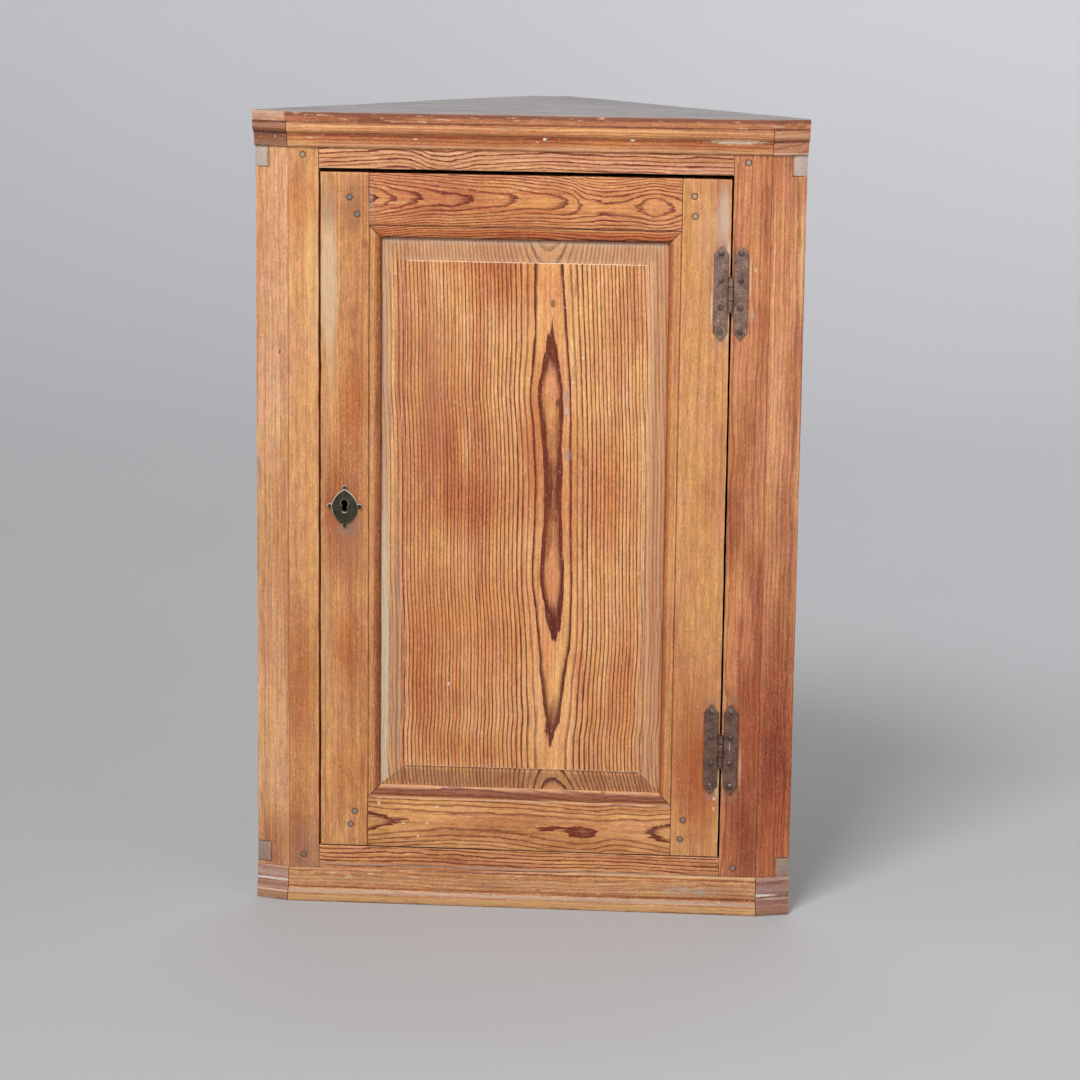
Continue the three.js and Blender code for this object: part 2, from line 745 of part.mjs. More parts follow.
function addLock() {
  const hole = keyhole(jointGap, -overrun, doorThickness + overrun).translate(keyX, 0, keyholeZ);
  piece(door, 'door_stile_lock', cut(doorStile(-1), hole), pine(0xb0794c));
  piece(door, 'escutcheon', escutcheon(), brass(0x3d3a28), keyX, 0, plateZ);
  piece(door, 'lock_case', lockCase(), iron(0x4a4039));
  piece(door, 'lock_bolt', lockBolt(), iron(0x6b6259));
  piece(door, 'lock_spring', lockSpring(), iron(0x5c5650));
  const pin = dowel(pinDiameter / 2, caseBack - pinLength, caseBack, keyholeSides);
  piece(door, 'lock_drill_pin', pin, iron(0x5c5650), keyX, 0, keyholeZ);
  piece(carcass, 'strike_plate', strikePlate(), iron(0x4a4039));
}

// The hinges: two leaves nailed on the face, with knuckles around a pin at the gap
const upperHingeInset = 129.1;
const lowerHingeInset = 127.7;
const hingeLength = 104;
const leafWidth = 16.3;
const leafGap = 2.9;
const leafThickness = 1.8;
const leafEndDrop = 5;
const leafShoulder = 3.4;
const leafTipRadius = 3.6;
const knuckleDiameter = 5.6;
const knuckleStandoff = 3.2;
const knuckleLength = 39;
const knuckleDrop = 2;
const knuckleShares = [0, 0.34, 0.74, 1];
const knuckleSides = 16;
const bridgeThickness = 1.05;
const hingePinDiameter = 2.5;
const hingePinProud = 0.8;
const nailRadius = 2.7;
const nailRise = 1.2;
const nailSides = 10;
const nailSteps = 3;
const nailHeightShares = [0.43, 0.14, -0.15, -0.41];
const hingeX = doorRight + doorGapRight / 2;

// A leaf's outline around its own middle: square shoulders and a round lobe at each end
function leafOutline() {
  const half = leafWidth / 2;
  const shoulder = hingeLength / 2 - leafEndDrop;
  const lobe = hingeLength / 2 - leafTipRadius;
  const shape = new THREE.Shape();
  shape.moveTo(half, leafShoulder - shoulder);
  shape.lineTo(half, shoulder - leafShoulder);
  shape.lineTo(half - leafShoulder, shoulder);
  shape.absarc(0, lobe, leafTipRadius, 0, Math.PI, false);
  shape.lineTo(leafShoulder - half, shoulder);
  shape.lineTo(-half, shoulder - leafShoulder);
  shape.lineTo(-half, leafShoulder - shoulder);
  shape.lineTo(leafShoulder - half, -shoulder);
  shape.absarc(0, -lobe, leafTipRadius, Math.PI, 2 * Math.PI, false);
  shape.lineTo(half - leafShoulder, -shoulder);
  return shape;
}

function nailHead(x, z) {
  const dome = Array.from({ length: nailSteps + 1 }, (_, step) => {
    const angle = (step / nailSteps) * Math.PI / 2;
    const out = step < nailSteps ? nailRadius * Math.cos(angle) : 0;
    return new THREE.Vector2(out, nailRise * Math.sin(angle));
  });
  const foot = -leafThickness / 2;
  const profile = [new THREE.Vector2(0, foot), new THREE.Vector2(nailRadius, foot), ...dome];
  return new THREE.LatheGeometry(profile, nailSides).rotateX(Math.PI).translate(x, -leafThickness, z);
}

// A round upright bar on the line of the hinge pins
function pinBar(radius, low, high) {
  const circle = Array.from({ length: knuckleSides }, (_, step) => {
    const angle = (step / knuckleSides) * 2 * Math.PI;
    return new THREE.Vector2(radius * Math.cos(angle), radius * Math.sin(angle) - knuckleStandoff);
  });
  return board(circle, low, high);
}

const knuckleFoot = -knuckleLength / 2 - knuckleDrop;

// The leaf of one side: the door has the first and last knuckles, the frame the middle one
function hingeLeaf(side) {
  const stops = knuckleShares.map((share) => knuckleFoot + knuckleLength * share);
  const spans = side > 0
    ? [[stops[1] + jointGap / 2, stops[2] - jointGap / 2]]
    : [[stops[0], stops[1] - jointGap / 2], [stops[2] + jointGap / 2, stops[3]]];
  const middle = side * (leafGap + leafWidth / 2);
  const bridgeBack = knuckleDiameter / 2 - knuckleStandoff;
  const bridgeEnds = [0, side * (leafGap + bridgeThickness)];
  const across = [Math.min(...bridgeEnds), Math.max(...bridgeEnds)];
  const bridges = spans.map((span) => block(across, [bridgeBack - bridgeThickness, bridgeBack], span));
  const knuckles = spans.map((span) => pinBar(knuckleDiameter / 2, ...span));
  const nails = nailHeightShares.map((share) => nailHead(middle, hingeLength * share));
  const leaf = plate(leafOutline(), -leafThickness, 0).translate(middle, 0, 0);
  const bore = pinBar(hingePinDiameter / 2 + jointGap, stops[0] - overrun, stops[3] + overrun);
  return cut(fuse(leaf, ...bridges, ...knuckles, ...nails), bore);
}

function addHinges() {
  const pinEnds = [knuckleFoot - hingePinProud, knuckleFoot + knuckleLength + hingePinProud];
  const pin = pinBar(hingePinDiameter / 2, ...pinEnds);
  const places = { upper: openingTop - upperHingeInset, lower: openingBottom + lowerHingeInset };
  Object.entries(places).forEach(([height, z]) => {
    piece(door, `hinge_leaf_door_${height}`, hingeLeaf(-1), iron(0x6a5850), hingeX, 0, z);
    piece(carcass, `hinge_leaf_frame_${height}`, hingeLeaf(1), iron(0x74625a), hingeX, 0, z);
    piece(door, `hinge_pin_${height}`, pin, iron(0x4b3f38), hingeX, 0, z);
  });
}

function addDoor() {
  piece(door, 'door_stile_hinge', doorStile(1), pine(0xb97d4d));
  piece(door, 'door_rail_top', doorRail(topRailSpan, 'upper'), pine(0xb9733f));
  piece(door, 'door_rail_bottom', doorRail(lowRailSpan, 'lower'), pine(0xbc8048));
  piece(door, 'door_panel', doorPanel(), pine(0xae6d45));
  flanks.forEach(({ side }) => ['upper', 'lower'].forEach((height) => {
    doorPegPlaces(side, height).forEach((place, index) => {
      const corner = `${side < 0 ? 'lock' : 'hinge'}_${height}`;
      addPeg(door, `door_peg_${corner}_${index + 1}`, place, doorThickness, 0x8a7a68);
    });
  }));
}

addCarcass();
addDoor();
addLock();
addHinges();

// The origin is the middle of the floor area that the cupboard covers
cupboard.position.y = (mouldingProjection - rearFace) / 2;

export default cupboard;
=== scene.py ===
import json
import math
import random

import bmesh
import bpy
from mathutils import Matrix, Vector, noise
from mathutils.bvhtree import BVHTree

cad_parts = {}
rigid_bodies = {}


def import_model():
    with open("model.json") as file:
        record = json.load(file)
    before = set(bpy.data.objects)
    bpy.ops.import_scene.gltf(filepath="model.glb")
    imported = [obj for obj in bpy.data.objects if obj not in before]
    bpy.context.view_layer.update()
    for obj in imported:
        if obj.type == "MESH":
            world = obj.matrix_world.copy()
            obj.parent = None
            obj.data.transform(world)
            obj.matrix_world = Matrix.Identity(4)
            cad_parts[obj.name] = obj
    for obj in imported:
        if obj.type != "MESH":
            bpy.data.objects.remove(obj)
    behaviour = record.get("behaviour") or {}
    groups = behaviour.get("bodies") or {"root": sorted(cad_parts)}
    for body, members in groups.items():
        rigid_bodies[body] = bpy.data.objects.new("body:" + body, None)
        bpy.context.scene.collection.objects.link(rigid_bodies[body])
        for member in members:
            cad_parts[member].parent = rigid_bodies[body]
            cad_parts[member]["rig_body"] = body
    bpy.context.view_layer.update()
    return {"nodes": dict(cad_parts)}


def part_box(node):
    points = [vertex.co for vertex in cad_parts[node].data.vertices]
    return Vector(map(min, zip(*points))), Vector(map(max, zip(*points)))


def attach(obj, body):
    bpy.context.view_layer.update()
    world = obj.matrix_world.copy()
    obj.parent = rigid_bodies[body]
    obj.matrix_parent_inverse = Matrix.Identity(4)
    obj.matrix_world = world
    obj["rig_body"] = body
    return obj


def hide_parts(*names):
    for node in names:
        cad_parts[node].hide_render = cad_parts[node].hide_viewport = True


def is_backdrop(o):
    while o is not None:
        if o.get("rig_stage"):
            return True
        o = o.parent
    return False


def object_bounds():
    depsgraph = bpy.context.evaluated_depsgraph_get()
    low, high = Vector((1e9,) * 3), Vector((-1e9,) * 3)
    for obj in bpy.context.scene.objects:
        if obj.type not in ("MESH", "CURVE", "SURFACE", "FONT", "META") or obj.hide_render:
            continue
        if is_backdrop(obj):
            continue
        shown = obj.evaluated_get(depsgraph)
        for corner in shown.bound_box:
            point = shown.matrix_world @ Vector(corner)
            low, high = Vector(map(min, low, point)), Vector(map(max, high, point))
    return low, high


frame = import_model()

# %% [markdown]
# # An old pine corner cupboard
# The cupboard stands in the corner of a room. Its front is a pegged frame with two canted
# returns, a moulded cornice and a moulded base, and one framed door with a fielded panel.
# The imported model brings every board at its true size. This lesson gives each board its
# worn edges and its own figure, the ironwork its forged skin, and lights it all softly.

MM = 0.001

# %% [markdown]
# ## The camera
# The photograph was taken from about four metres, a little above and to the right of the
# middle, with a long lens, so the uprights stay almost parallel. The numbers come from
# fitting a camera to the corners of the cupboard.

# %% The camera
CAMERA_PLACE = (0.311, -3.99075, 1.2)
CAMERA_LENS = 117.03
SENSOR_WIDTH = 36.0
YAW, PITCH, ROLL = (math.radians(angle) for angle in (-4.37, 11.32, 0.68))

forward = Vector((math.sin(YAW) * math.cos(PITCH), math.cos(YAW) * math.cos(PITCH),
                  -math.sin(PITCH)))
level_right = Vector((math.cos(YAW), -math.sin(YAW), 0))
level_up = level_right.cross(forward)
right = level_right * math.cos(ROLL) + level_up * math.sin(ROLL)
up = level_up * math.cos(ROLL) - level_right * math.sin(ROLL)

camera_data = bpy.data.cameras.new("camera")
camera_data.lens = CAMERA_LENS
camera_data.sensor_width = SENSOR_WIDTH
camera = bpy.data.objects.new("camera", camera_data)
bpy.context.scene.collection.objects.link(camera)
turn = Matrix((right, up, -forward)).transposed().to_4x4()
camera.matrix_world = Matrix.Translation(CAMERA_PLACE) @ turn
bpy.context.scene.camera = camera
print("camera looks along", [round(value, 3) for value in forward])

# %% [markdown]
# ## Colours and nodes
# A shader works with linear light, while a given colour is an sRGB hex value, so
# one function turns the one into the other. Another adds any node, sets its options and
# fills its sockets, which keeps the finishes below short.

# %% Helpers for finishes
MODES = {"Math": "operation", "VectorMath": "operation", "Mix": "blend_type",
         "MapRange": "interpolation_type"}
COLOUR_SOCKETS = (0, 6, 7)  # a Mix node's share and its two colours


def linear(code):
    """An sRGB hex colour as the linear RGBA that a shader socket takes."""
    shares = [int(code[at:at + 2], 16) / 255 for at in (1, 3, 5)]
    return [share / 12.92 if share <= 0.04045 else ((share + 0.055) / 1.055) ** 2.4
            for share in shares] + [1.0]


def fill(tree, sockets, values):
    """Links or sets sockets by name or number; a hex colour is made linear first."""
    for key, value in values.items() if isinstance(values, dict) else enumerate(values):
        if isinstance(value, bpy.types.NodeSocket):
            tree.links.new(value, sockets[key])
        else:
            sockets[key].default_value = linear(value) if isinstance(value, str) else value


def add(tree, kind, values=(), out=0, **options):
    """Adds one node with its settings and links, and returns one of its outputs.

    The kind may name the node's mode too, as in "Math multiply". A Mix mixes two colours,
    and a MapRange with only two bounds maps them to 0 and 1.
    """
    kind, _, mode = kind.partition(" ")
    made = tree.nodes.new("ShaderNode" + kind)
    if kind == "Mix":
        made.data_type, out, values = "RGBA", 2, dict(zip(COLOUR_SOCKETS, values))
    if mode:
        options[MODES[kind]] = mode.upper()
    for option, value in options.items():
        setattr(made, option, value)
    fill(tree, made.inputs, values)
    return made.outputs[out]


def new_group(name, takes, gives):
    """An empty group that takes a board place and numbers; returns it, its inputs and its end."""
    tree = bpy.data.node_groups.new(name, "ShaderNodeTree")
    tree.interface.new_socket("Board", in_out="INPUT", socket_type="NodeSocketVector")
    for labels, way in ((takes, "INPUT"), (gives, "OUTPUT")):
        for label in labels:
            tree.interface.new_socket(label, in_out=way, socket_type="NodeSocketFloat")
    start = tree.nodes.new("NodeGroupInput")
    end = tree.nodes.new("NodeGroupOutput")
    return tree, start.outputs, end.inputs


def new_finish(name):
    """An empty material with a Principled shader; returns it, its tree and the shader."""
    finish = bpy.data.materials.new(name)
    finish.use_nodes = True
    tree = finish.node_tree
    return finish, tree, tree.nodes["Principled BSDF"]


print("black and white are", linear("#000000")[:3], "and", linear("#ffffff")[:3])

# %% [markdown]
# ## The studio
# The floor and the backdrop are one pale grey sheet that turns up behind the cupboard in
# a wide bend, as photographers' paper does. Its grey is painted lighter higher up, further
# back and to the right, as painted light falling on it. A big soft lamp stands in front and
# above, a weaker one on the right, and the world fills the shadows.

# %% The paper sweep
SWEEP_FRONT, SWEEP_BACK = -7.0, 4.6
SWEEP_BEND, SWEEP_HEIGHT, SWEEP_HALF = 1.6, 5.0, 6.0
bend_steps = 12
profile = [(SWEEP_FRONT, 0.0)]
for step in range(bend_steps + 1):
    angle = math.pi / 2 * step / bend_steps
    profile.append((SWEEP_BACK - SWEEP_BEND + SWEEP_BEND * math.sin(angle),
                    SWEEP_BEND * (1 - math.cos(angle))))
profile.append((SWEEP_BACK, SWEEP_HEIGHT))
corners = [(side, y, z - 0.0005) for y, z in profile for side in (-SWEEP_HALF, SWEEP_HALF)]
strips = [(2 * at, 2 * at + 1, 2 * at + 3, 2 * at + 2) for at in range(len(profile) - 1)]
sweep_mesh = bpy.data.meshes.new("paper_sweep")
sweep_mesh.from_pydata(corners, [], strips)
sweep_mesh.polygons.foreach_set("use_smooth", [True] * len(strips))
sweep = bpy.data.objects.new("paper_sweep", sweep_mesh)
bpy.context.scene.collection.objects.link(sweep)
sweep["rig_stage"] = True

paper, tree, shader = new_finish("matt_grey_paper")
place = add(tree, "TexCoord", out="Object")
cloud = add(tree, "TexNoise", {"Vector": place, "Scale": 0.8, "Detail": 1.0})
along_sweep = add(tree, "SeparateXYZ", (place,)).node.outputs
# painted light: the paper's grey is made lighter higher up, further back and to the right
painted_light = add(tree, "MapRange", (along_sweep[2], 0.0, 2.4, 0.0, 0.75))
away = add(tree, "MapRange", (along_sweep[1], 0.2, 4.4, 0.0, 0.3))
aside = add(tree, "MapRange", (along_sweep[0], -0.7, 1.5, 0.0, 0.3))
painted_light = add(tree, "Math", (painted_light, away))
painted_light = add(tree, "Math", (painted_light, aside))
painted_light = add(tree, "Math multiply_add", (cloud, 0.1, painted_light))
tint = add(tree, "Mix", (painted_light, "#a6a6a6", "#ededf2"))
fill(tree, shader.inputs, {"Base Color": tint, "Roughness": 0.9})
sweep_mesh.materials.append(paper)
print("the paper turns up in", bend_steps, "steps,", SWEEP_BEND, "m round")

# %% Lamps and world
def soft_lamp(name, place, aim, size, power):
    """A square lamp that faces the aim."""
    data = bpy.data.lights.new(name, "AREA")
    data.shape = "SQUARE"
    data.size = size
    data.energy = power
    lamp = bpy.data.objects.new(name, data)
    bpy.context.scene.collection.objects.link(lamp)
    lamp.location = place
    lamp.rotation_euler = (Vector(aim) - Vector(place)).to_track_quat("-Z", "Y").to_euler()
    return lamp


soft_lamp("key_lamp", (-0.8, -2.9, 3.7), (0, 0, 0.5), 1.4, 150)
soft_lamp("fill_lamp", (2.6, -3.0, 1.6), (0, 0, 0.5), 2.0, 20)
soft_lamp("paper_lamp", (0.0, 2.2, 4.4), (0, 4.2, 1.2), 2.4, 54)
world = bpy.data.worlds.new("world")
world.use_nodes = True
sky = world.node_tree.nodes["Background"]
fill(world.node_tree, sky.inputs, {"Color": "#f4f5f8", "Strength": 0.36})
bpy.context.scene.world = world
bpy.context.scene.view_settings.view_transform = "Standard"

# %% [markdown]
# ## How pine grows
# A pine board shows its growth rings: pale early wood that ends each year in a dark, hard
# line of late wood. The rings are tubes round the pith, so the figure on a face is where
# the face cuts those tubes. This group measures how far a point is from the pith, lets
# the pith drift along the board as in a real tree, and counts the years. One rule then
# gives straight lines at the sides, pointed arches in the middle, and the arcs on bevels.
# Everything in it is in millimetres: along the grain, across the face, and into the wood.

# %% Growth rings
tree, takes, gives = new_group(
    "growth_rings",
    ("Pith across", "Pith depth", "Start", "Ring", "Wander", "Ripple", "Jag", "Uneven", "Seed",
     "Spread"),
    ("Late", "Year"))
board, pith_across, pith_depth, start, ring = takes[:5]
wander, ripples, jags, uneven, seed, spread = takes[5:11]
elsewhere = add(tree, "VectorMath scale", {0: (7.3, 3.1, 5.7), "Scale": seed})
into_board = add(tree, "SeparateXYZ", (board,)).node.outputs

# The pith drifts over a quarter of a metre or so, and the rings ripple over a few centimetres
slow_place = add(tree, "VectorMath multiply_add", (board, (0.005, 0.004, 0.004), elsewhere))
slow = add(tree, "TexNoise", {"Vector": slow_place, "Scale": 1.0, "Detail": 1.0}, out="Color")
centred = add(tree, "VectorMath subtract", (slow, (0.5, 0.5, 0.5)))
drift = add(tree, "VectorMath scale", {0: centred, "Scale": wander})
drifts = add(tree, "SeparateXYZ", (drift,)).node.outputs
side = add(tree, "Math subtract", (into_board[1], pith_across))
side = add(tree, "Math", (side, drifts[0]))
deep = add(tree, "Math subtract", (pith_depth, into_board[2]))
deep = add(tree, "Math", (deep, drifts[1]))
flat = add(tree, "CombineXYZ", (side, deep, 0.0))
radius = add(tree, "VectorMath length", (flat,), out="Value")
ripple_place = add(tree, "VectorMath multiply_add", (board, (0.011, 0.022, 0.022), elsewhere))
ripple = add(tree, "TexNoise", {"Vector": ripple_place, "Scale": 1.0, "Detail": 2.0})
ripple = add(tree, "Math subtract", (ripple, 0.5))
ripple = add(tree, "Math multiply", (ripple, ripples))
jag_place = add(tree, "VectorMath multiply_add", (board, (0.035, 0.25, 0.25), elsewhere))
jag = add(tree, "TexNoise", {"Vector": jag_place, "Scale": 1.0, "Detail": 3.0, "Roughness": 0.6})
jag = add(tree, "Math subtract", (jag, 0.5))
ripple = add(tree, "Math multiply_add", (jag, jags, ripple))
years = add(tree, "Math subtract", (radius, start))
wider = add(tree, "Math multiply_add", (years, spread, 1.0))
years = add(tree, "Math divide", (years, wider))
years = add(tree, "Math divide", (years, ring))
years = add(tree, "Math", (years, ripple))
pace_place = add(tree, "Math multiply", (radius, 0.06))
pace = add(tree, "TexNoise", {"W": pace_place, "Scale": 1.0, "Detail": 1.0}, noise_dimensions="1D")
pace = add(tree, "Math subtract", (pace, 0.5))
years = add(tree, "Math multiply_add", (pace, uneven, years))
within = add(tree, "Math fract", (years,))
year = add(tree, "Math floor", (years,))
year_seed = add(tree, "Math", (year, seed))
chance = add(tree, "TexWhiteNoise", {"W": year_seed}, noise_dimensions="1D")
rise = add(tree, "MapRange smoothstep", (within, 0.52, 0.88))
fall = add(tree, "MapRange smoothstep", (within, 0.97, 1.0, 1.0, 0.0))
late = add(tree, "Math multiply", (rise, fall))
# The ring just inside Start has late wood twice as thick, as after a wet summer
thick = add(tree, "MapRange smoothstep", (years, -0.52, -0.16))
thick_end = add(tree, "MapRange smoothstep", (years, -0.03, 0.0, 1.0, 0.0))
thick = add(tree, "Math multiply", (thick, thick_end))
late = add(tree, "Math maximum", (late, thick))
chance = add(tree, "Math maximum", (chance, thick))
fill(tree, gives, (late, chance))
growth_rings = tree
print("growth rings:", len(tree.nodes), "nodes")

# %% [markdown]
# ## Marks on a board
# Filled nail holes, scrapes, stains, bands of dust, and painted lines of shade and highlight
# are all one shape: an oval with a ragged edge, long or short. This group gives such an oval
# as a mask from the same board place, so a finish can list its marks one by one.

# %% A ragged oval
tree, takes, gives = new_group(
    "ragged_oval", ("Along", "Across", "Half along", "Half across", "Ragged", "Soft"), ("Mask",))
board, along, across, half_along, half_across, ragged, soft = takes[:7]
parts = add(tree, "SeparateXYZ", (board,)).node.outputs
by_length = add(tree, "Math subtract", (parts[0], along))
by_length = add(tree, "Math divide", (by_length, half_along))
by_width = add(tree, "Math subtract", (parts[1], across))
by_width = add(tree, "Math divide", (by_width, half_across))
oval = add(tree, "CombineXYZ", (by_length, by_width, 0.0))
reach = add(tree, "VectorMath length", (oval,), out="Value")
rough_place = add(tree, "VectorMath multiply", (board, (0.25, 0.6, 0.6)))
rough = add(tree, "TexNoise",
            {"Vector": rough_place, "Scale": 1.0, "Detail": 3.0, "Roughness": 0.65})
rough = add(tree, "Math subtract", (rough, 0.5))
reach = add(tree, "Math multiply_add", (rough, ragged, reach))
inner = add(tree, "Math subtract", (1.0, soft))
mask = add(tree, "MapRange smoothstep", {0: reach, 1: inner, 2: 1.0, 3: 1.0, 4: 0.0})
fill(tree, gives, (mask,))
ragged_oval = tree
print("ragged oval:", len(tree.nodes), "nodes")

# %% [markdown]
# ## The finish of old waxed pine
# The real boards were planed by hand, coloured by two centuries of light, wax and smoke,
# scraped, and waxed again. The eye sees honey-coloured early wood, red-brown late wood
# that stands a hair proud, short dark fibres, cloudy stains, pale rubbed arrises, and
# dust in what lies deep. Wax on pine is dull: its roughness is about 0.5, its IOR 1.45.

# %% Places on a board
UPRIGHT = ((0, 0, 1), (1, 0, 0), (0, 1, 0))
LEVEL = ((1, 0, 0), (0, 0, 1), (0, 1, 0))
FLAT = ((1, 0, 0), (0, 1, 0), (0, 0, -1))
FRONT = -143.75  # where the face of the door and its frame lies


def board_place(tree, axes, face=0.0):
    """Where a point is in a board, in mm: along it, across it, and in from its face."""
    place = add(tree, "TexCoord", out="Object")
    lengths = [add(tree, "VectorMath dot_product", (place, [part / MM for part in axis]),
                   out="Value") for axis in axes]
    if face:
        lengths[2] = add(tree, "Math subtract", (lengths[2], face))
    return lengths, add(tree, "CombineXYZ", lengths)


def smooth_curve(tree, value, low, high, points, bottom, top):
    """A smooth curve through points (place, height), for places low..high."""
    share = add(tree, "MapRange", (value, low, high))
    made = add(tree, "FloatCurve", {"Value": share})
    curve = made.node.mapping.curves[0]
    dots = [((place - low) / (high - low), (height - bottom) / (top - bottom))
            for place, height in points]
    curve.points[0].location, curve.points[1].location = dots[0], dots[-1]
    for dot in dots[1:-1]:
        curve.points.new(*dot)
    made.node.mapping.update()
    return add(tree, "MapRange", (made, 0.0, 1.0, bottom, top))


def grain_noise(tree, board, scales, seed, detail):
    """Noise stretched along the board; scales are turns per millimetre."""
    elsewhere = (seed * 7.3, seed * 3.1, seed * 5.7)
    place = add(tree, "VectorMath multiply_add", (board, scales, elsewhere))
    return add(tree, "TexNoise",
               {"Vector": place, "Scale": 1.0, "Detail": detail, "Roughness": 0.6})


print("a board that stands runs along", UPRIGHT[0], "and its face is at", FRONT, "mm")

# %% Marks and glazes
LONG = 3000  # half the length of a band that runs past both ends of any board


def laid_on(tree, board, normal, wood, fibre, mark, blend):
    """Lays one mark (MIX) or one see-through glaze (MULTIPLY) on the colour so far."""
    along_at, across_at, half_along, half_across, colour, share, rag, soft, *slope = mark
    mask = add(tree, "Group", (board, along_at, across_at, half_along, half_across, rag, soft),
               node_tree=ragged_oval)
    thin = add(tree, "MapRange", (fibre, 0.34, 0.6, 0.45 * share, share))
    cover = add(tree, "Math multiply", (mask, thin))
    if slope:  # only where the surface faces that way
        facing = add(tree, "VectorMath dot_product", (normal, slope[0]), out="Value")
        facing = add(tree, "MapRange", (facing, 0.03, 0.06))
        cover = add(tree, "Math multiply", (cover, facing))
    return add(tree, "Mix", (cover, wood, colour), blend_type=blend)


print("a band that passes both ends of a board is", 2 * LONG, "mm long")

# %% Old waxed pine
WOOD_IOR = 1.45
GOLDEN, ROSY = (1.03, 1.03, 0.94, 1.0), (1.01, 0.96, 1.07, 1.0)  # shares of each colour that stay


def old_pine(name, axes, face, pith, ring, seed, wander=30.0, ripple=2.0, jag=0.8, start=0.0,
             uneven=2.5, drifts=(None, None), pale="#dca978", honey="#c98f5c", late="#8c4c2b",
             late_share=0.8, stain="#9a5636", stain_share=0.3, thread="#8c4526",
             thread_share=0.45, scuff_share=0.4, grit_share=0.17, fleck_share=0.9, spread=0.0,
             glazes=(), marks=(), rub_share=0.7, rub_least=0.15, rubbed="#e0bb92", sheen=0.5,
             faint_seam=None):
    """Pine of one board. Axes run along, across and into it; face is where its face lies."""
    finish, tree, shader = new_finish(name)
    lengths, board = board_place(tree, axes, face)
    across, depth = (smooth_curve(tree, lengths[0], *drift) if drift else still
                     for drift, still in zip(drifts, pith))
    rings = (board, across, depth, start, ring, wander, ripple, jag, uneven, seed, spread)
    late_wood, year = add(tree, "Group", rings, node_tree=growth_rings).node.outputs

    normal = add(tree, "TexCoord", out="Normal")
    # Fibres are finer than the image can show, so they are drawn about a millimetre wide
    fibre = grain_noise(tree, board, (0.06, 1.0, 1.0), seed, 2.0)
    threads = grain_noise(tree, board, (0.010, 0.6, 0.6), seed + 9.0, 2.0)
    streak = grain_noise(tree, board, (0.003, 0.26, 0.26), seed + 3.0, 3.0)
    cloud = grain_noise(tree, board, (0.005, 0.016, 0.016), seed + 7.0, 2.0)
    mottle = grain_noise(tree, board, (0.06, 0.14, 0.14), seed + 5.0, 3.0)
    grain = add(tree, "MapRange", (streak, 0.36, 0.64))
    early = add(tree, "Mix", (grain, pale, honey))
    thin = add(tree, "MapRange smoothstep", (threads, 0.54, 0.72, 0.0, thread_share))
    early = add(tree, "Mix", (thin, early, thread))
    year_tone = add(tree, "MapRange", (year, 0.0, 1.0, 0.6, 1.0))
    patch = add(tree, "MapRange", (cloud, 0.36, 0.62, 0.85, 1.0))
    strength = add(tree, "Math multiply", (late_wood, year_tone))
    strength = add(tree, "Math multiply", (strength, patch))
    strength = add(tree, "Math multiply", (strength, late_share))
    wood = add(tree, "Mix", (strength, early, late))
    clouded = add(tree, "MapRange smoothstep", (cloud, 0.44, 0.66, 0.0, stain_share))
    stained = add(tree, "Mix multiply", (1.0, wood, stain))
    lifted = add(tree, "Mix", (0.55, stained, stain))
    wood = add(tree, "Mix", (clouded, wood, lifted))
    for glaze in glazes:
        wood = laid_on(tree, board, normal, wood, fibre, glaze, "MULTIPLY")
    # Wax and light left the wood rosy in some places and golden in others
    blush = grain_noise(tree, board, (0.018, 0.05, 0.05), seed + 11.0, 2.0)
    blush = add(tree, "MapRange", (blush, 0.38, 0.62))
    blush = add(tree, "Mix", (blush, GOLDEN, ROSY))
    wood = add(tree, "Mix multiply", (1.0, wood, blush))
    # Pores, scratches and grit, a millimetre or two wide
    grit = grain_noise(tree, board, (0.28, 0.55, 0.55), seed + 13.0, 4.0)
    shade = add(tree, "MapRange", (mottle, 0.3, 0.7, 0.89, 1.14))
    gritty = add(tree, "MapRange", (grit, 0.3, 0.7, 1.0 - grit_share, 1.0 + grit_share))
    shade = add(tree, "Math multiply", (shade, gritty))
    wood = add(tree, "VectorMath scale", {0: wood, "Scale": shade})
    dark_fibre = add(tree, "MapRange smoothstep", (fibre, 0.52, 0.3, 0.0, 0.5))
    wood = add(tree, "Mix multiply", (dark_fibre, wood, "#d9a68c"))
    scuff = add(tree, "Math multiply", (fibre, grit))
    scuff = add(tree, "MapRange smoothstep", (scuff, 0.34, 0.41, 0.0, scuff_share))
    wood = add(tree, "Mix", (scuff, wood, rubbed))
    fleck = grain_noise(tree, board, (0.4, 0.75, 0.75), seed + 17.0, 1.0)
    dark_fleck = add(tree, "MapRange", (fleck, 0.32, 0.26, 0.0, 0.5 * fleck_share))
    wood = add(tree, "Mix", (dark_fleck, wood, "#6a3c26"))
    pale_fleck = add(tree, "MapRange", (fleck, 0.69, 0.75, 0.0, 0.6 * fleck_share))
    wood = add(tree, "Mix", (pale_fleck, wood, rubbed))
    gloss = add(tree, "MapRange", (mottle, 0.3, 0.7, sheen - 0.06, sheen + 0.1))

    for mark in marks:
        wood = laid_on(tree, board, normal, wood, fibre, mark, "MIX")

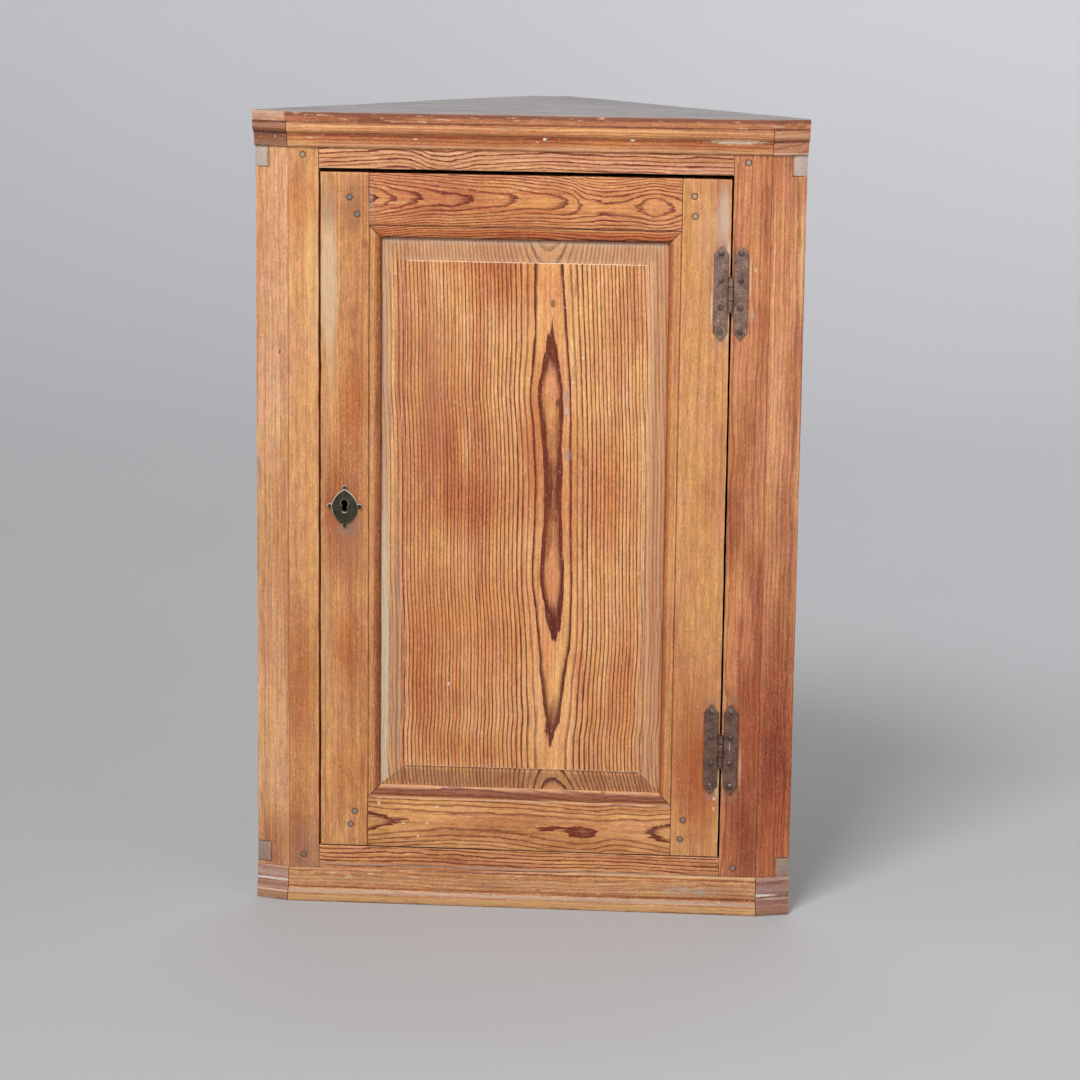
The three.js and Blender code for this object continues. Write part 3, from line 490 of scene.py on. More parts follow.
    # Rubbed arrises show paler bare wood where the wax is gone
    arris = add(tree, "Attribute", attribute_name="arris", out="Fac")
    rub = add(tree, "MapRange", (mottle, 0.40, 0.60, rub_least * rub_share, rub_share))
    rub = add(tree, "Math multiply", (arris, rub))
    wood = add(tree, "Mix", (rub, wood, rubbed))
    seam = add(tree, "Attribute", attribute_name="seam", out="Fac")
    dirt = add(tree, "MapRange", (mottle, 0.35, 0.65, 0.95, 0.6))
    dirt = add(tree, "Math multiply", (seam, dirt))
    if faint_seam is not None:  # a tight joint at this place across the board holds almost no dirt
        beside = add(tree, "Math subtract", (lengths[1], faint_seam))
        beside = add(tree, "Math absolute", (beside,))
        beside = add(tree, "MapRange", (beside, 1.0, 2.0, 0.22, 1.0))
        dirt = add(tree, "Math multiply", (dirt, beside))
    wood = add(tree, "Mix", (dirt, wood, "#2e1c12"))

    height = add(tree, "Math multiply", (late_wood, 0.6))
    height = add(tree, "Math multiply_add", (fibre, 0.5, height))
    height = add(tree, "Math multiply_add", (mottle, 0.6, height))
    height = add(tree, "Math multiply_add", (grit, 0.8, height))
    bump = add(tree, "Bump", {"Strength": 0.55, "Distance": 0.35 * MM, "Height": height})
    fill(tree, shader.inputs,
         {"Base Color": wood, "Roughness": gloss, "IOR": WOOD_IOR, "Normal": bump})
    print(f"{name}: {len(tree.nodes)} nodes")
    return finish


# %% [markdown]
# ## Worn edges
# No edge of an old board is sharp. A copy of each board gets its sharp outer edges
# bevelled: broad where hands and brooms reach, fine where two boards meet. The board is
# then cut across every centimetre or so, and its edge points are pushed in by a slow
# random amount, so that the edges waver as worn edges do. They only move inwards, which
# keeps the board inside its true size. The narrow new faces carry a mark that the finish
# reads: arris where the edge is free and rubbed pale, seam where it lies against another
# board and holds old dirt.

# %% Worn copies of boards
SHARP = math.radians(35)
SMOOTH_BELOW = 28.0
JOINT_GAP = 0.4 * MM

solids = {}
for node, source in frame["nodes"].items():
    bm = bmesh.new()
    bm.from_mesh(source.data)
    solids[node] = (BVHTree.FromBMesh(bm), *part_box(node))
    bm.free()


def against_another(node, point):
    """True where the surface of another node is closer than a joint's gap."""
    for other, (surface, low, high) in solids.items():
        inside = all(low[at] - JOINT_GAP < point[at] < high[at] + JOINT_GAP for at in range(3))
        if other != node and inside and surface.find_nearest(point, JOINT_GAP)[0] is not None:
            return True
    return False


def worn_mesh(node, fine, broad, broad_where, axis, step, waver, seed):
    """A welded copy of the node's mesh with bevelled, wavering edges."""
    bm = bmesh.new()
    bm.from_mesh(frame["nodes"][node].data)
    bmesh.ops.remove_doubles(bm, verts=bm.verts, dist=0.004 * MM)
    bmesh.ops.dissolve_limit(bm, angle_limit=math.radians(0.6), verts=bm.verts, edges=bm.edges)
    bmesh.ops.recalc_face_normals(bm, faces=bm.faces)
    before = bm.calc_volume()
    moved = bm.verts.layers.float.new("moved")
    arris = bm.faces.layers.float.new("arris")
    seam = bm.faces.layers.float.new("seam")
    for width, kind, layer in ((broad, "broad", arris), (fine, "free", arris),
                               (min(fine, 0.3), "joint", seam)):
        if not width:
            continue
        edges = []
        for edge in bm.edges:
            outer = edge.is_manifold and edge.is_convex and edge.calc_face_angle(0) > SHARP
            fresh = any(face[arris] + face[seam] > 0.5 for face in edge.link_faces)
            if not outer or fresh or edge.calc_length() < 1.5 * width * MM:
                continue
            middle = (edge.verts[0].co + edge.verts[1].co) / 2
            here = "free"
            if broad_where and broad_where(middle / MM):
                here = "broad"
            elif against_another(node, middle):
                here = "joint"
            if here == kind:
                edges.append(edge)
        if edges:
            made = bmesh.ops.bevel(bm, geom=edges, offset=width * MM, offset_type="OFFSET",
                                   segments=2, profile=0.55, affect="EDGES",
                                   clamp_overlap=False)
            if kind != "joint":  # joints stay tight
                for vert in made["verts"]:
                    vert[moved] = 1.0
            for face in made["faces"]:
                face[layer] = 1.0
    if step:
        low = min(vert.co[axis] for vert in bm.verts)
        high = max(vert.co[axis] for vert in bm.verts)
        cuts = int((high - low) / (step * MM))
        normal = Vector((0, 0, 0))
        normal[axis] = 1.0
        for cut in range(1, cuts):
            point = Vector((0, 0, 0))
            point[axis] = low + (high - low) * cut / cuts
            bmesh.ops.bisect_plane(bm, geom=bm.verts[:] + bm.edges[:] + bm.faces[:],
                                   dist=0.001 * MM, plane_co=point, plane_no=normal)
        bm.normal_update()
        for vert in bm.verts:
            if vert[moved] > 0.5:
                push = noise.noise(vert.co / (26 * MM) + Vector((seed * 3.7, 0, 0)))
                push += 0.5 * noise.noise(vert.co / (9 * MM) + Vector((0, seed * 2.3, 0)))
                vert.co -= vert.normal * max(0.0, 0.35 + push) * waver * MM
    after = bm.calc_volume()
    return bm, before, after


def worn(node, finish, fine=0.3, broad=0.0, broad_where=None, axis=2, step=14.0,
         waver=0.3, smooth_below=SMOOTH_BELOW, seed=1):
    """Replaces the node with its worn copy, which rides on the same body."""
    source = frame["nodes"][node]
    bm, before, after = worn_mesh(node, fine, broad, broad_where, axis, step, waver, seed)
    mesh = bpy.data.meshes.new("worn_" + node)
    bm.to_mesh(mesh)
    bm.free()
    stray = mesh.attributes.get("custom_normal")
    if stray:
        mesh.attributes.remove(stray)
    mesh.polygons.foreach_set("use_smooth", [True] * len(mesh.polygons))
    mesh.set_sharp_from_angle(angle=math.radians(smooth_below))
    mesh.materials.clear()
    mesh.materials.append(finish)
    piece = bpy.data.objects.new("worn_" + node, mesh)
    bpy.context.scene.collection.objects.link(piece)
    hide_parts(node)
    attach(piece, source["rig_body"])
    print(f"{piece.name}: {len(mesh.polygons)} faces, volume {after / before:.4f} of the solid")


# %% [markdown]
# ## The door panel
# The panel is one wide flat-sawn board. In its middle the saw just skimmed a ring, which
# leaves a long dark island, and the next ring closes in a point below it. The depth of
# the pith along the board decides where that happens: the curve gives how far the pith
# is nearer than the skimmed ring's radius, in millimetres. The bevels cut deeper, so the
# same rings make arcs on them. Dust and old limewash lie on the bevels; the bottom bevel,
# which faces down, is painted darker as shade.

# %% The panel's finish
PANEL_FACE = FRONT + 3.2
PANEL_LOW, PANEL_HIGH = 131.0, 769.0
SKIMMED_RING = 57.0
nearer = [(131, -3.4), (162, -3.05), (192, -2.85), (225, -2.25), (254, -1.6), (285, -0.75),
          (309, -0.05), (335, 0.55), (350, 0.9), (366, 1.4), (384, 1.62), (430, 1.2), (470, 0.92),
          (510, 0.9), (545, 1.2), (575, 1.6), (592, 1.82), (604, 1.68), (616, 1.3), (632, 0.8),
          (650, 0.36), (667, 0.0), (700, -0.3), (738, -0.6), (769, -0.9)]
panel_depth = [(place, SKIMMED_RING - height) for place, height in nearer]
panel_middle = [(131, 37), (192, 31), (225, 33.2), (254, 32.8), (312, 34), (384, 31), (430, 30.6),
                (496, 30.5), (560, 28.6), (592, 26.6), (650, 26), (700, 24.5), (738, 23),
                (769, 22)]
ON_LEFT, ON_RIGHT, ON_TOP, ON_FOOT = (-1, 0, 0), (1, 0, 0), (0, 0, 1), (0, 0, -1)
panel_marks = [
    # bevels: left, right, top and bottom, with dust in the deep part; the bottom bevel's marks are
    # painted shade
    (450, -160, LONG, 9, "#bb9c7e", 0.8, 0.6, 0.6, ON_LEFT),
    (270, -160.0, 265, 8.6, "#d8c6a8", 0.88, 0.8, 0.5, ON_LEFT),
    (620, -143, 190, 7, "#9c5636", 0.55, 0.8, 0.7, ON_LEFT),
    (255, -145.5, 260, 9, "#9f7d6c", 0.7, 0.8, 0.6, ON_LEFT),
    (450, -152.6, LONG, 0.8, "#a05836", 0.7, 1.6, 0.6, ON_LEFT),
    (450, -148.4, LONG, 0.9, "#e2b088", 0.7, 1.6, 0.6, ON_LEFT),
    (450, -144.6, LONG, 0.8, "#93492c", 0.7, 1.6, 0.6, ON_LEFT),
    (450, -140.6, LONG, 0.8, "#dea884", 0.6, 1.6, 0.6, ON_LEFT),
    (560, -166.5, 90, 1.6, "#96745c", 0.6, 1.4, 0.7, ON_LEFT),
    (450, 147, LONG, 13, "#bd8564", 0.72, 0.5, 0.5, ON_RIGHT),
    (450, 137.5, LONG, 3.5, "#d6ac88", 0.6, 0.5, 0.6, ON_RIGHT),
    (300, 135.6, 290, 1.3, "#7e4a34", 0.65, 1.2, 0.6, ON_RIGHT),
    (450, 143.6, LONG, 0.9, "#94563a", 0.6, 1.6, 0.6, ON_RIGHT),
    (450, 149.4, LONG, 0.8, "#dcb492", 0.6, 1.6, 0.6, ON_RIGHT),
    (750.5, 0, 12, LONG, "#ac8262", 0.7, 0.4, 0.4, ON_TOP),
    (764, 0, 9, LONG, "#c8b09c", 0.8, 0.4, 0.9, ON_TOP),
    (741, 0, 2.5, LONG, "#c09a78", 0.6, 0.4, 0.6, ON_TOP),
    # the bottom bevel faces down: these two darker marks are painted shade
    (148, 0, 12, LONG, "#7c5038", 0.6, 0.5, 0.45, ON_FOOT),
    (134, 0, 6, LONG, "#8c6a56", 0.6, 0.8, 0.7, ON_FOOT),
    # the knot, the grey filler beside it and the dark fleck above
    (583, 35, 6, 3.2, "#5a3222", 0.9, 0.3, 0.4),
    (591, 43.5, 10, 4.5, "#a78f88", 0.75, 0.9, 0.5),
    (574, 44.5, 5, 3.0, "#c9c0bb", 0.8, 0.6, 0.5),
    (524, 47, 9, 6, "#a08a80", 0.6, 0.9, 0.6),
    (694, 28.2, 5.5, 2.8, "#5a3222", 0.9, 0.4, 0.4),
    (258, -85, 2.6, 1.4, "#e6dccb", 0.9, 0.4, 0.4),
    (634, 62.2, 2.2, 1.2, "#efe4d4", 0.95, 0.3, 0.4),
    (609, 1.3, 2.4, 1.2, "#e8d6bd", 0.9, 0.4, 0.4),
    (606, 51.5, 2, 2, "#e8d6bd", 0.8, 0.4, 0.4),
    (648, -98, 4, 2.6, "#8d7b78", 0.7, 0.6, 0.5),
    (654, -83, 3, 2.4, "#8d7b78", 0.7, 0.6, 0.5),
    # a rosy film of old wax on the left, where the lines show more faintly
    (610, -104, 150, 34, "#d09a72", 0.34, 0.7, 0.9),
    (390, -112, 130, 22, "#cb8c5a", 0.26, 0.8, 0.9),
]
panel_glazes = [
    # red stain that went deeper on the left, round the middle and low on the right
    (560, -100, 150, 60, "#d08248", 0.8, 0.8, 0.9),
    (460, -60, 60, 90, "#d68e58", 0.7, 0.8, 0.9),
    (300, -115, 170, 32, "#d8905c", 0.6, 0.5, 0.9),
    (480, 90, 110, 50, "#dc9860", 0.6, 0.5, 0.9),
    (330, -40, 120, 120, "#e4b080", 0.6, 0.4, 0.9),
    (250, 112, 120, 30, "#d89262", 0.6, 0.5, 0.9),
    (715, -20, 50, 90, "#dea07a", 0.6, 0.6, 0.9),
    (540, 10, 120, 14, "#dca068", 0.6, 0.5, 0.9),
    (180, -60, 30, 90, "#dca274", 0.6, 0.6, 0.9),
    (735, -60, 16, 70, "#d8a08c", 0.5, 0.9, 0.9),
    (450, -137, LONG, 4, "#d88a64", 0.7, 0.6, 0.8),
]
panel_finish = old_pine(
    "panel_pine_waxed", UPRIGHT, PANEL_FACE, (0, 0), 2.9, 3.0, wander=0.0, ripple=0.25, jag=0.36,
    start=SKIMMED_RING, uneven=0.0, spread=0.0016, grit_share=0.18,
    drifts=((PANEL_LOW, PANEL_HIGH, panel_middle, 0, 60),
            (PANEL_LOW, PANEL_HIGH, panel_depth, 54, 62)),
    pale="#f3be80", honey="#e29d5f", late="#5e1c06", late_share=1.2, stain="#b85a28",
    stain_share=0.35, thread="#a04a1e", glazes=panel_glazes, marks=panel_marks, rub_share=0.85,
    rub_least=0.5, rubbed="#ecd3b4")
worn("door_panel", panel_finish, fine=0.9, step=0, smooth_below=5.0, seed=2)

# %% [markdown]
# ## The door's stiles and rails
# The lock stile on the left is honey coloured with a bare grey strip along its edge. The
# hinge stile is paler still. The rails lie level: the top one is flat-sawn, so its rings
# close in a row of points that run to the right and end in an eye.

# %% Door frame finishes
KEYHOLE_X = -203.43
lock_marks = [
    (712, -221.5, 106, 13, "#dcc29c", 0.85, 0.6, 0.55),
    (650, -219, 130, 9, "#d9b688", 0.5, 0.7, 0.9),
    (800, -222, 40, 12, "#a98a72", 0.6, 0.6, 0.7),
    (797, -195, 48, 20, "#8f5a3e", 0.65, 0.8, 0.8),
    (660, -188, 60, 7, "#a9673f", 0.45, 1.2, 0.8),
    (756, -181, 6, 6, "#8a4528", 0.6, 0.8, 0.7),
    (155, -182.3, 26, 3, "#b4552a", 0.75, 0.4, 0.6),
    (300, -224, 160, 9, "#b98a66", 0.5, 0.6, 0.7),
    (430, -198, 60, 22, "#b07d62", 0.5, 0.7, 0.8),
    (520, -226.5, 90, 3.0, "#b98468", 0.6, 0.6, 0.7),
    (438, -193, 20, 13, "#8f6d62", 0.55, 0.9, 0.9),
    (432, -205, 8, 15, "#9a8074", 0.5, 1.4, 0.8),
    (492, -196, 12, 12, "#96705e", 0.4, 0.9, 0.9),
    # the keyhole, painted black as the shade inside it
    (462, KEYHOLE_X, 10.5, 5.5, "#120d0a", 1.0, 0.0, 0.2),
]
stile_bead = [
    # the sticking: a red-brown hollow beside the panel, with painted shadow lines at its quirks
    (450, -176.4, LONG, 1.0, "#8a5236", 0.9, 0.5, 0.5),
    (450, -165.5, LONG, 7.0, "#a2603b", 0.95, 0.6, 0.8),
    (450, -163.5, LONG, 1.6, "#a8704e", 0.8, 0.5, 0.6),
]
lock_glazes = stile_bead + [
    (575, -194, 90, 26, "#d08a5e", 0.85, 0.8, 0.9),
    (455, -205, 125, 40, "#b8744f", 0.95, 0.7, 0.9),
    (300, -200, 70, 30, "#dca272", 0.7, 0.7, 0.9),
    (150, -200, 60, 30, "#d8a076", 0.6, 0.7, 0.9),
]
lock_stile_finish = old_pine(
    "lock_stile_pine_waxed", UPRIGHT, FRONT, (-420, 60), 5.0, 11.0, wander=8, pale="#dfa86c",
    honey="#cf9056", late="#9c5628", late_share=0.42, thread_share=0.3, stain="#a2522e",
    stain_share=0.25, glazes=lock_glazes, marks=lock_marks)
hinge_marks = [
    (792, 213, 50, 9, "#ccb09e", 0.85, 0.5, 0.8),
    (795, 217, 45, 5.5, "#cfb8a2", 0.7, 0.5, 0.6),
    (748, 220.8, 28, 2.4, "#d8c6b2", 0.85, 0.5, 0.5),
    (668, 220.9, 22, 2.0, "#d2bea8", 0.8, 0.5, 0.5),
    (694, 203.4, 22, 1.6, "#edcfa8", 0.8, 0.6, 0.5),
    (150, 220.6, 22, 2.2, "#d8c6ac", 0.8, 0.5, 0.5),
    (226, 202.4, 26, 2.0, "#b98a72", 0.5, 0.8, 0.7),
    (764, 213.2, 10, 10, "#a9877a", 0.5, 0.7, 0.8),
    (654, 213.2, 9, 9, "#a9877a", 0.5, 0.7, 0.8),
    (247, 213.2, 10, 11, "#9c7868", 0.55, 0.7, 0.8),
    (138, 213.2, 9, 10, "#a9877a", 0.5, 0.7, 0.8),
    (134, 218.2, 2.2, 1.6, "#f0e4cf", 0.95, 0.3, 0.4),
    (122.7, 217.9, 2.0, 1.5, "#ecd8b8", 0.9, 0.3, 0.4),
    (700, 205, 60, 3, "#e2bd97", 0.5, 0.6, 0.7),
    (775, 198, 62, 20, "#d6a684", 0.42, 0.9, 0.9),
]
hinge_stile_finish = old_pine(
    "hinge_stile_pine_waxed", UPRIGHT, FRONT, (480, 60), 6.0, 17.0, wander=8, pale="#dda66a",
    honey="#cf9058", late="#ac6636", late_share=0.4, stain="#b0603a", stain_share=0.35,
    thread_share=0.18,
    glazes=[(170, 200, 110, 40, "#d8966c", 0.9, 0.6, 0.9),
            # the sticking: a painted shadow line at each quirk and a red-brown hollow between them
            (450, 169, LONG, 1.0, "#8a5236", 0.9, 0.5, 0.5),
            (450, 158.5, LONG, 3.5, "#cf8a5c", 0.8, 0.5, 0.7),
            (450, 156.2, LONG, 1.4, "#a8704e", 0.8, 0.5, 0.6)],
    marks=hinge_marks)
RAIL_LEFT, RAIL_RIGHT = -219.0, 212.0
TIP_RING = 33.0
rail_nearer = [(-219, 2.2), (-190, 1.2), (-167, 0.0), (-149, -1.6), (-116, -3.2), (-70, -4.8),
               (-17, -6.4), (20, -7.2), (47, -8.0), (60, -9.6), (80, -10.6), (104, -10.5),
               (122, -9.6), (139, -8.75), (157, -9.6), (176, -10.6), (212, -10.8)]
rail_depth = [(place, TIP_RING - height) for place, height in rail_nearer]
rail_middle = [(-219, 807), (-149, 807.8), (-116, 809), (-70, 807.4), (-17, 808.2), (47, 805),
               (60, 802.5), (90, 801), (122, 803), (139, 803.2), (157, 803), (212, 805)]
# the top rail's sticking: a painted shadow line at its quirk, a reddish hollow, and a painted
# shadow line at its foot, which faces down
rail_bead_top = [(0, 777.6, LONG, 1.2, "#8a4a2c", 0.9, 0.5, 0.5),
                 (0, 770, LONG, 7, "#efb492", 0.8, 0.5, 0.8),
                 (0, 763.6, LONG, 1.8, "#8a5a44", 0.9, 0.5, 0.6)]
rail_bead_foot = [(0, 130.0, LONG, 6.4, "#843d29", 0.95, 0.4, 0.5)]
top_rail_finish = old_pine(
    "top_rail_pine_waxed", LEVEL, FRONT, (0, 0), 1.6, 23.0, wander=0.0, ripple=0.9, start=TIP_RING,
    uneven=0.3,
    drifts=((RAIL_LEFT, RAIL_RIGHT, rail_middle, 790, 820),
            (RAIL_LEFT, RAIL_RIGHT, rail_depth, 28, 48)),
    pale="#dea066", honey="#c87b45", late="#6e1e08", late_share=1.35, stain="#a84c28",
    stain_share=0.4, thread="#9a441f", glazes=rail_bead_top,
    marks=[(-174, 800, 4, 30, "#a99488", 0.5, 1.2, 0.8)])
low_nearer = [(-219, 3.2), (-185, 2.2), (-160, 1.0), (-140, 0.0), (-118, -0.7), (-60, -1.3),
              (0, -0.7), (29, 0.0), (48, 0.3), (64, 0.2), (78, 0.0), (105, -0.8), (130, -0.5),
              (144, 0.0), (156, 0.9), (172, 2.0), (212, 3.2)]
low_depth = [(place, TIP_RING - height) for place, height in low_nearer]
low_middle = [(-219, 95), (-140, 96), (-60, 99), (0, 96), (30, 93), (78, 90), (110, 94), (150, 92),
              (212, 93)]
bottom_rail_finish = old_pine(
    "low_rail_pine_waxed", LEVEL, FRONT, (0, 0), 2.9, 33.0, wander=0.0, ripple=0.7, uneven=0.6,
    start=TIP_RING,
    drifts=((RAIL_LEFT, RAIL_RIGHT, low_middle, 80, 110),
            (RAIL_LEFT, RAIL_RIGHT, low_depth, 28, 36)),
    pale="#e5ac6e", honey="#d8985c", late="#6e2a10", late_share=1.1, stain="#a8522e",
    stain_share=0.4, glazes=rail_bead_foot,
    marks=[(0, 130.2, LONG, 5.6, "#8c4b33", 0.6, 0.6, 0.5),
           (0, 136.6, LONG, 0.7, "#c9a890", 0.6, 0.9, 0.5),
           (0, 123.6, LONG, 1.0, "#cfae98", 0.75, 0.7, 0.5),
           (-146.5, 98, 12, 3.4, "#8d4a33", 0.8, 0.5, 0.5),
           (148.6, 95, 9, 4, "#8d4a33", 0.7, 0.5, 0.5),
           (-163.8, 116.4, 2, 2, "#efe2cf", 0.9, 0.4, 0.4),
           (-97.2, 113.9, 2, 2, "#efe2cf", 0.9, 0.4, 0.4),
           (-136, 93.7, 1.8, 1.6, "#efe2cf", 0.8, 0.4, 0.4),
           (-108.5, 94.6, 1.8, 1.6, "#efe2cf", 0.8, 0.4, 0.4),
           (-118.8, 78.8, 2, 1.6, "#efe2cf", 0.8, 0.4, 0.4)])

# %% Door frame boards
def on_outline(left, right, low, high):
    """A rule that picks the edges of the front face on the outline with these sides."""
    def picks(middle):
        at_side = min(abs(middle.x - left), abs(middle.x - right)) < 0.5
        at_end = min(abs(middle.z - low), abs(middle.z - high)) < 0.5
        return middle.y < FRONT + 1 and (at_side or at_end)
    return picks


door_rim = on_outline(-230.8, 223.4, 65.7, 835.1)
for seed, (node, finish, axis) in enumerate((
        ("door_stile_lock", lock_stile_finish, 2), ("door_stile_hinge", hinge_stile_finish, 2),
        ("door_rail_top", top_rail_finish, 0), ("door_rail_bottom", bottom_rail_finish, 0)), 3):
    worn(node, finish, broad=0.9, broad_where=door_rim, axis=axis, waver=0.6,
         seed=seed)

# %% [markdown]
# ## The front frame and its canted returns
# The left stile and return are honey coloured and quiet. The right ones were coloured
# redder and show dark streaks. The frieze above the door has long even lines that dip
# once, beside a knot that was sawn away. The ends of the floor and ceiling boards come
# through the returns as pale grey squares of end grain.

# %% Front frame finishes
ARRIS = 266.8  # from the middle to the corner between the front and a canted return
left_stile_finish = old_pine(
    "left_stile_pine_waxed", UPRIGHT, FRONT, (-520, 80), 7.0, 41.0, wander=6, uneven=2.5,
    pale="#e1ac76", honey="#d4985e", late="#ab6636", late_share=0.34, thread_share=0.22,
    stain="#b0703f", stain_share=0.3, faint_seam=-ARRIS,
    glazes=[(70, -255, 110, 40, "#c08c72", 0.8, 0.7, 0.9),
            (240, -256, 170, 36, "#dcae88", 0.8, 0.7, 0.9),
            (800, -256, 70, 30, "#e0b090", 0.6, 0.7, 0.9)],
    marks=[(745, -243, 85, 7, "#f0bd72", 0.7, 0.6, 0.9),
           (700, -235.5, 130, 2, "#ecd0a8", 0.5, 0.6, 0.6),
           (52, -250, 60, 30, "#8a6f66", 0.45, 0.9, 0.9),
           (30, -250, 14, 60, "#8f7f78", 0.6, 0.9, 0.8)])
right_stile_finish = old_pine(
    "right_stile_pine_stained", UPRIGHT, FRONT, (560, 60), 6.0, 47.0, wander=6, uneven=1.5,
    pale="#d69866", honey="#c67c4c", late="#843a1e", late_share=0.7, stain="#9c4a2c",
    stain_share=0.6, faint_seam=ARRIS,
    glazes=[(230, 262, 170, 26, "#f8d2bc", 0.8, 0.8, 0.9),
            (90, 245, 80, 40, "#c48872", 0.8, 0.7, 0.9),
            (330, 244, 30, 7, "#b06a4c", 0.7, 0.9, 0.9)],
    marks=[(736.5, 251.4, 3.5, 2.2, "#ecc488", 0.9, 0.5, 0.5),
           (685.6, 248.2, 4, 5, "#b9a092", 0.8, 0.9, 0.6),
           (728, 245.6, 30, 1.8, "#e6bc94", 0.8, 0.7, 0.5),
           (172, 246.5, 34, 2.2, "#d8ac86", 0.7, 0.7, 0.5),
           (160, 227.4, 34, 1.6, "#cfa68c", 0.6, 0.6, 0.5),
           (250, 237, 12, 12, "#8c6254", 0.5, 0.7, 0.8),
           (136, 236, 10, 12, "#9a6f62", 0.5, 0.7, 0.8),
           (40, 245, 22, 40, "#8a5a4c", 0.4, 0.8, 0.9)])
frieze_middle = [(-260, 776), (-231, 777), (-180, 781), (-142, 782), (-120, 777), (-98, 771),
                 (-75, 774), (-50, 780), (0, 782), (100, 781), (252, 780)]
frieze_finish = old_pine(
    "frieze_pine_waxed", LEVEL, FRONT, (780, 30), 4.2, 53.0, wander=4, uneven=1.5,
    drifts=((-260, 252, frieze_middle, 760, 800), None), pale="#ecb88c", honey="#d8935f",
    late="#74200a", late_share=1.3, stain="#b36a45", stain_share=0.3)
sill_finish = old_pine(
    "sill_pine_waxed", LEVEL, FRONT, (110, 40), 4.2, 59.0, wander=26, uneven=2.0, pale="#dba067",
    honey="#c98852", late="#702c10", late_share=1.35, stain="#a65a36", stain_share=0.4,
    fleck_share=1.2, marks=[(0, 42.6, LONG, 2.0, "#b39a88", 0.75, 1.0, 0.7)])
CANT = math.atan2(11.9, 38.5)
LEFT_CANT = ((0, 0, 1), (math.cos(CANT), -math.sin(CANT), 0), (math.sin(CANT), math.cos(CANT), 0))
RIGHT_CANT = ((0, 0, 1), (math.cos(CANT), math.sin(CANT), 0), (-math.sin(CANT), math.cos(CANT), 0))
LEFT_LENGTH = (LEFT_CANT[1], LEFT_CANT[0], LEFT_CANT[2])
RIGHT_LENGTH = (RIGHT_CANT[1], RIGHT_CANT[0], RIGHT_CANT[2])
left_edge, left_face = (Vector((-ARRIS, FRONT, 0)).dot(axis) for axis in LEFT_CANT[1:])
right_edge, right_face = (Vector((ARRIS, FRONT, 0)).dot(axis) for axis in RIGHT_CANT[1:])
left_return_finish = old_pine(
    "left_return_pine_waxed", LEFT_CANT, left_face, (left_edge - 160, 40), 5.0, 61.0, wander=5,
    uneven=2.5, pale="#e8b788", honey="#daa06d", late="#a8663c", late_share=0.42, thread_share=0.3,
    stain="#b0703f", stain_share=0.35, faint_seam=left_edge,
    glazes=[(60, left_edge - 20, 70, 40, "#c4947c", 0.7, 0.7, 0.9)],
    marks=[(633, left_edge - 11, 3, 1.4, "#4a3a30", 0.9, 0.4, 0.4),
           (590, left_edge - 14.5, 140, 1.1, "#f0d2b0", 0.6, 1.2, 0.6),
           (560, left_edge - 11.5, 60, 0.9, "#f0d2b0", 0.6, 1.2, 0.6),
           (493, left_edge - 36, 28, 3.2, "#a9705a", 0.65, 0.9, 0.7),
           (506, left_edge - 37, 13, 1.8, "#9a8e8c", 0.65, 0.9, 0.6),
           (745, left_edge - 36, 60, 3.0, "#b87a5c", 0.45, 1.2, 0.8)])
right_return_finish = old_pine(
    "right_return_pine_stained", RIGHT_CANT, right_face, (right_edge + 160, 40), 5.0, 67.0,
    wander=5, uneven=2.0, pale="#e4aa76", honey="#d48a58", late="#8a3e20", late_share=0.6,
    stain="#9c4f33", stain_share=0.5, faint_seam=right_edge,
    glazes=[(230, right_edge + 20, 250, 50, "#ae6a50", 0.95, 0.7, 0.9),
            (120, right_edge + 20, 190, 60, "#dc9c84", 0.9, 0.5, 0.9)],
    marks=[(742, right_edge + 36.5, 95, 2.4, "#e8c490", 0.75, 1.3, 0.6),
           (560, right_edge + 37.5, 60, 1.4, "#e4bc8c", 0.6, 1.3, 0.6)])

# %% Front frame boards
opening_rim = on_outline(-233.0, 225.4, 64.5, 839.5)
for seed, (node, finish, slot, broad, axis, waver) in enumerate((
        ("frame_stile_left", left_stile_finish, "pine_honey", 0.8, 2, 0.8),
        ("frame_stile_right", right_stile_finish, "pine_red", 0.8, 2, 0.5),
        ("frieze_rail", frieze_finish, "pine_honey", 0.7, 0, 0.4),
        ("bottom_rail", sill_finish, "pine_honey", 0.7, 0, 0.4)), 7):
    worn(node, finish, fine=0.25, broad=broad, broad_where=opening_rim, axis=axis,
         waver=waver, seed=seed)
worn("canted_return_left", left_return_finish, fine=0.6, waver=0.4, seed=11)
worn("canted_return_right", right_return_finish, fine=0.6, waver=0.4, seed=12)
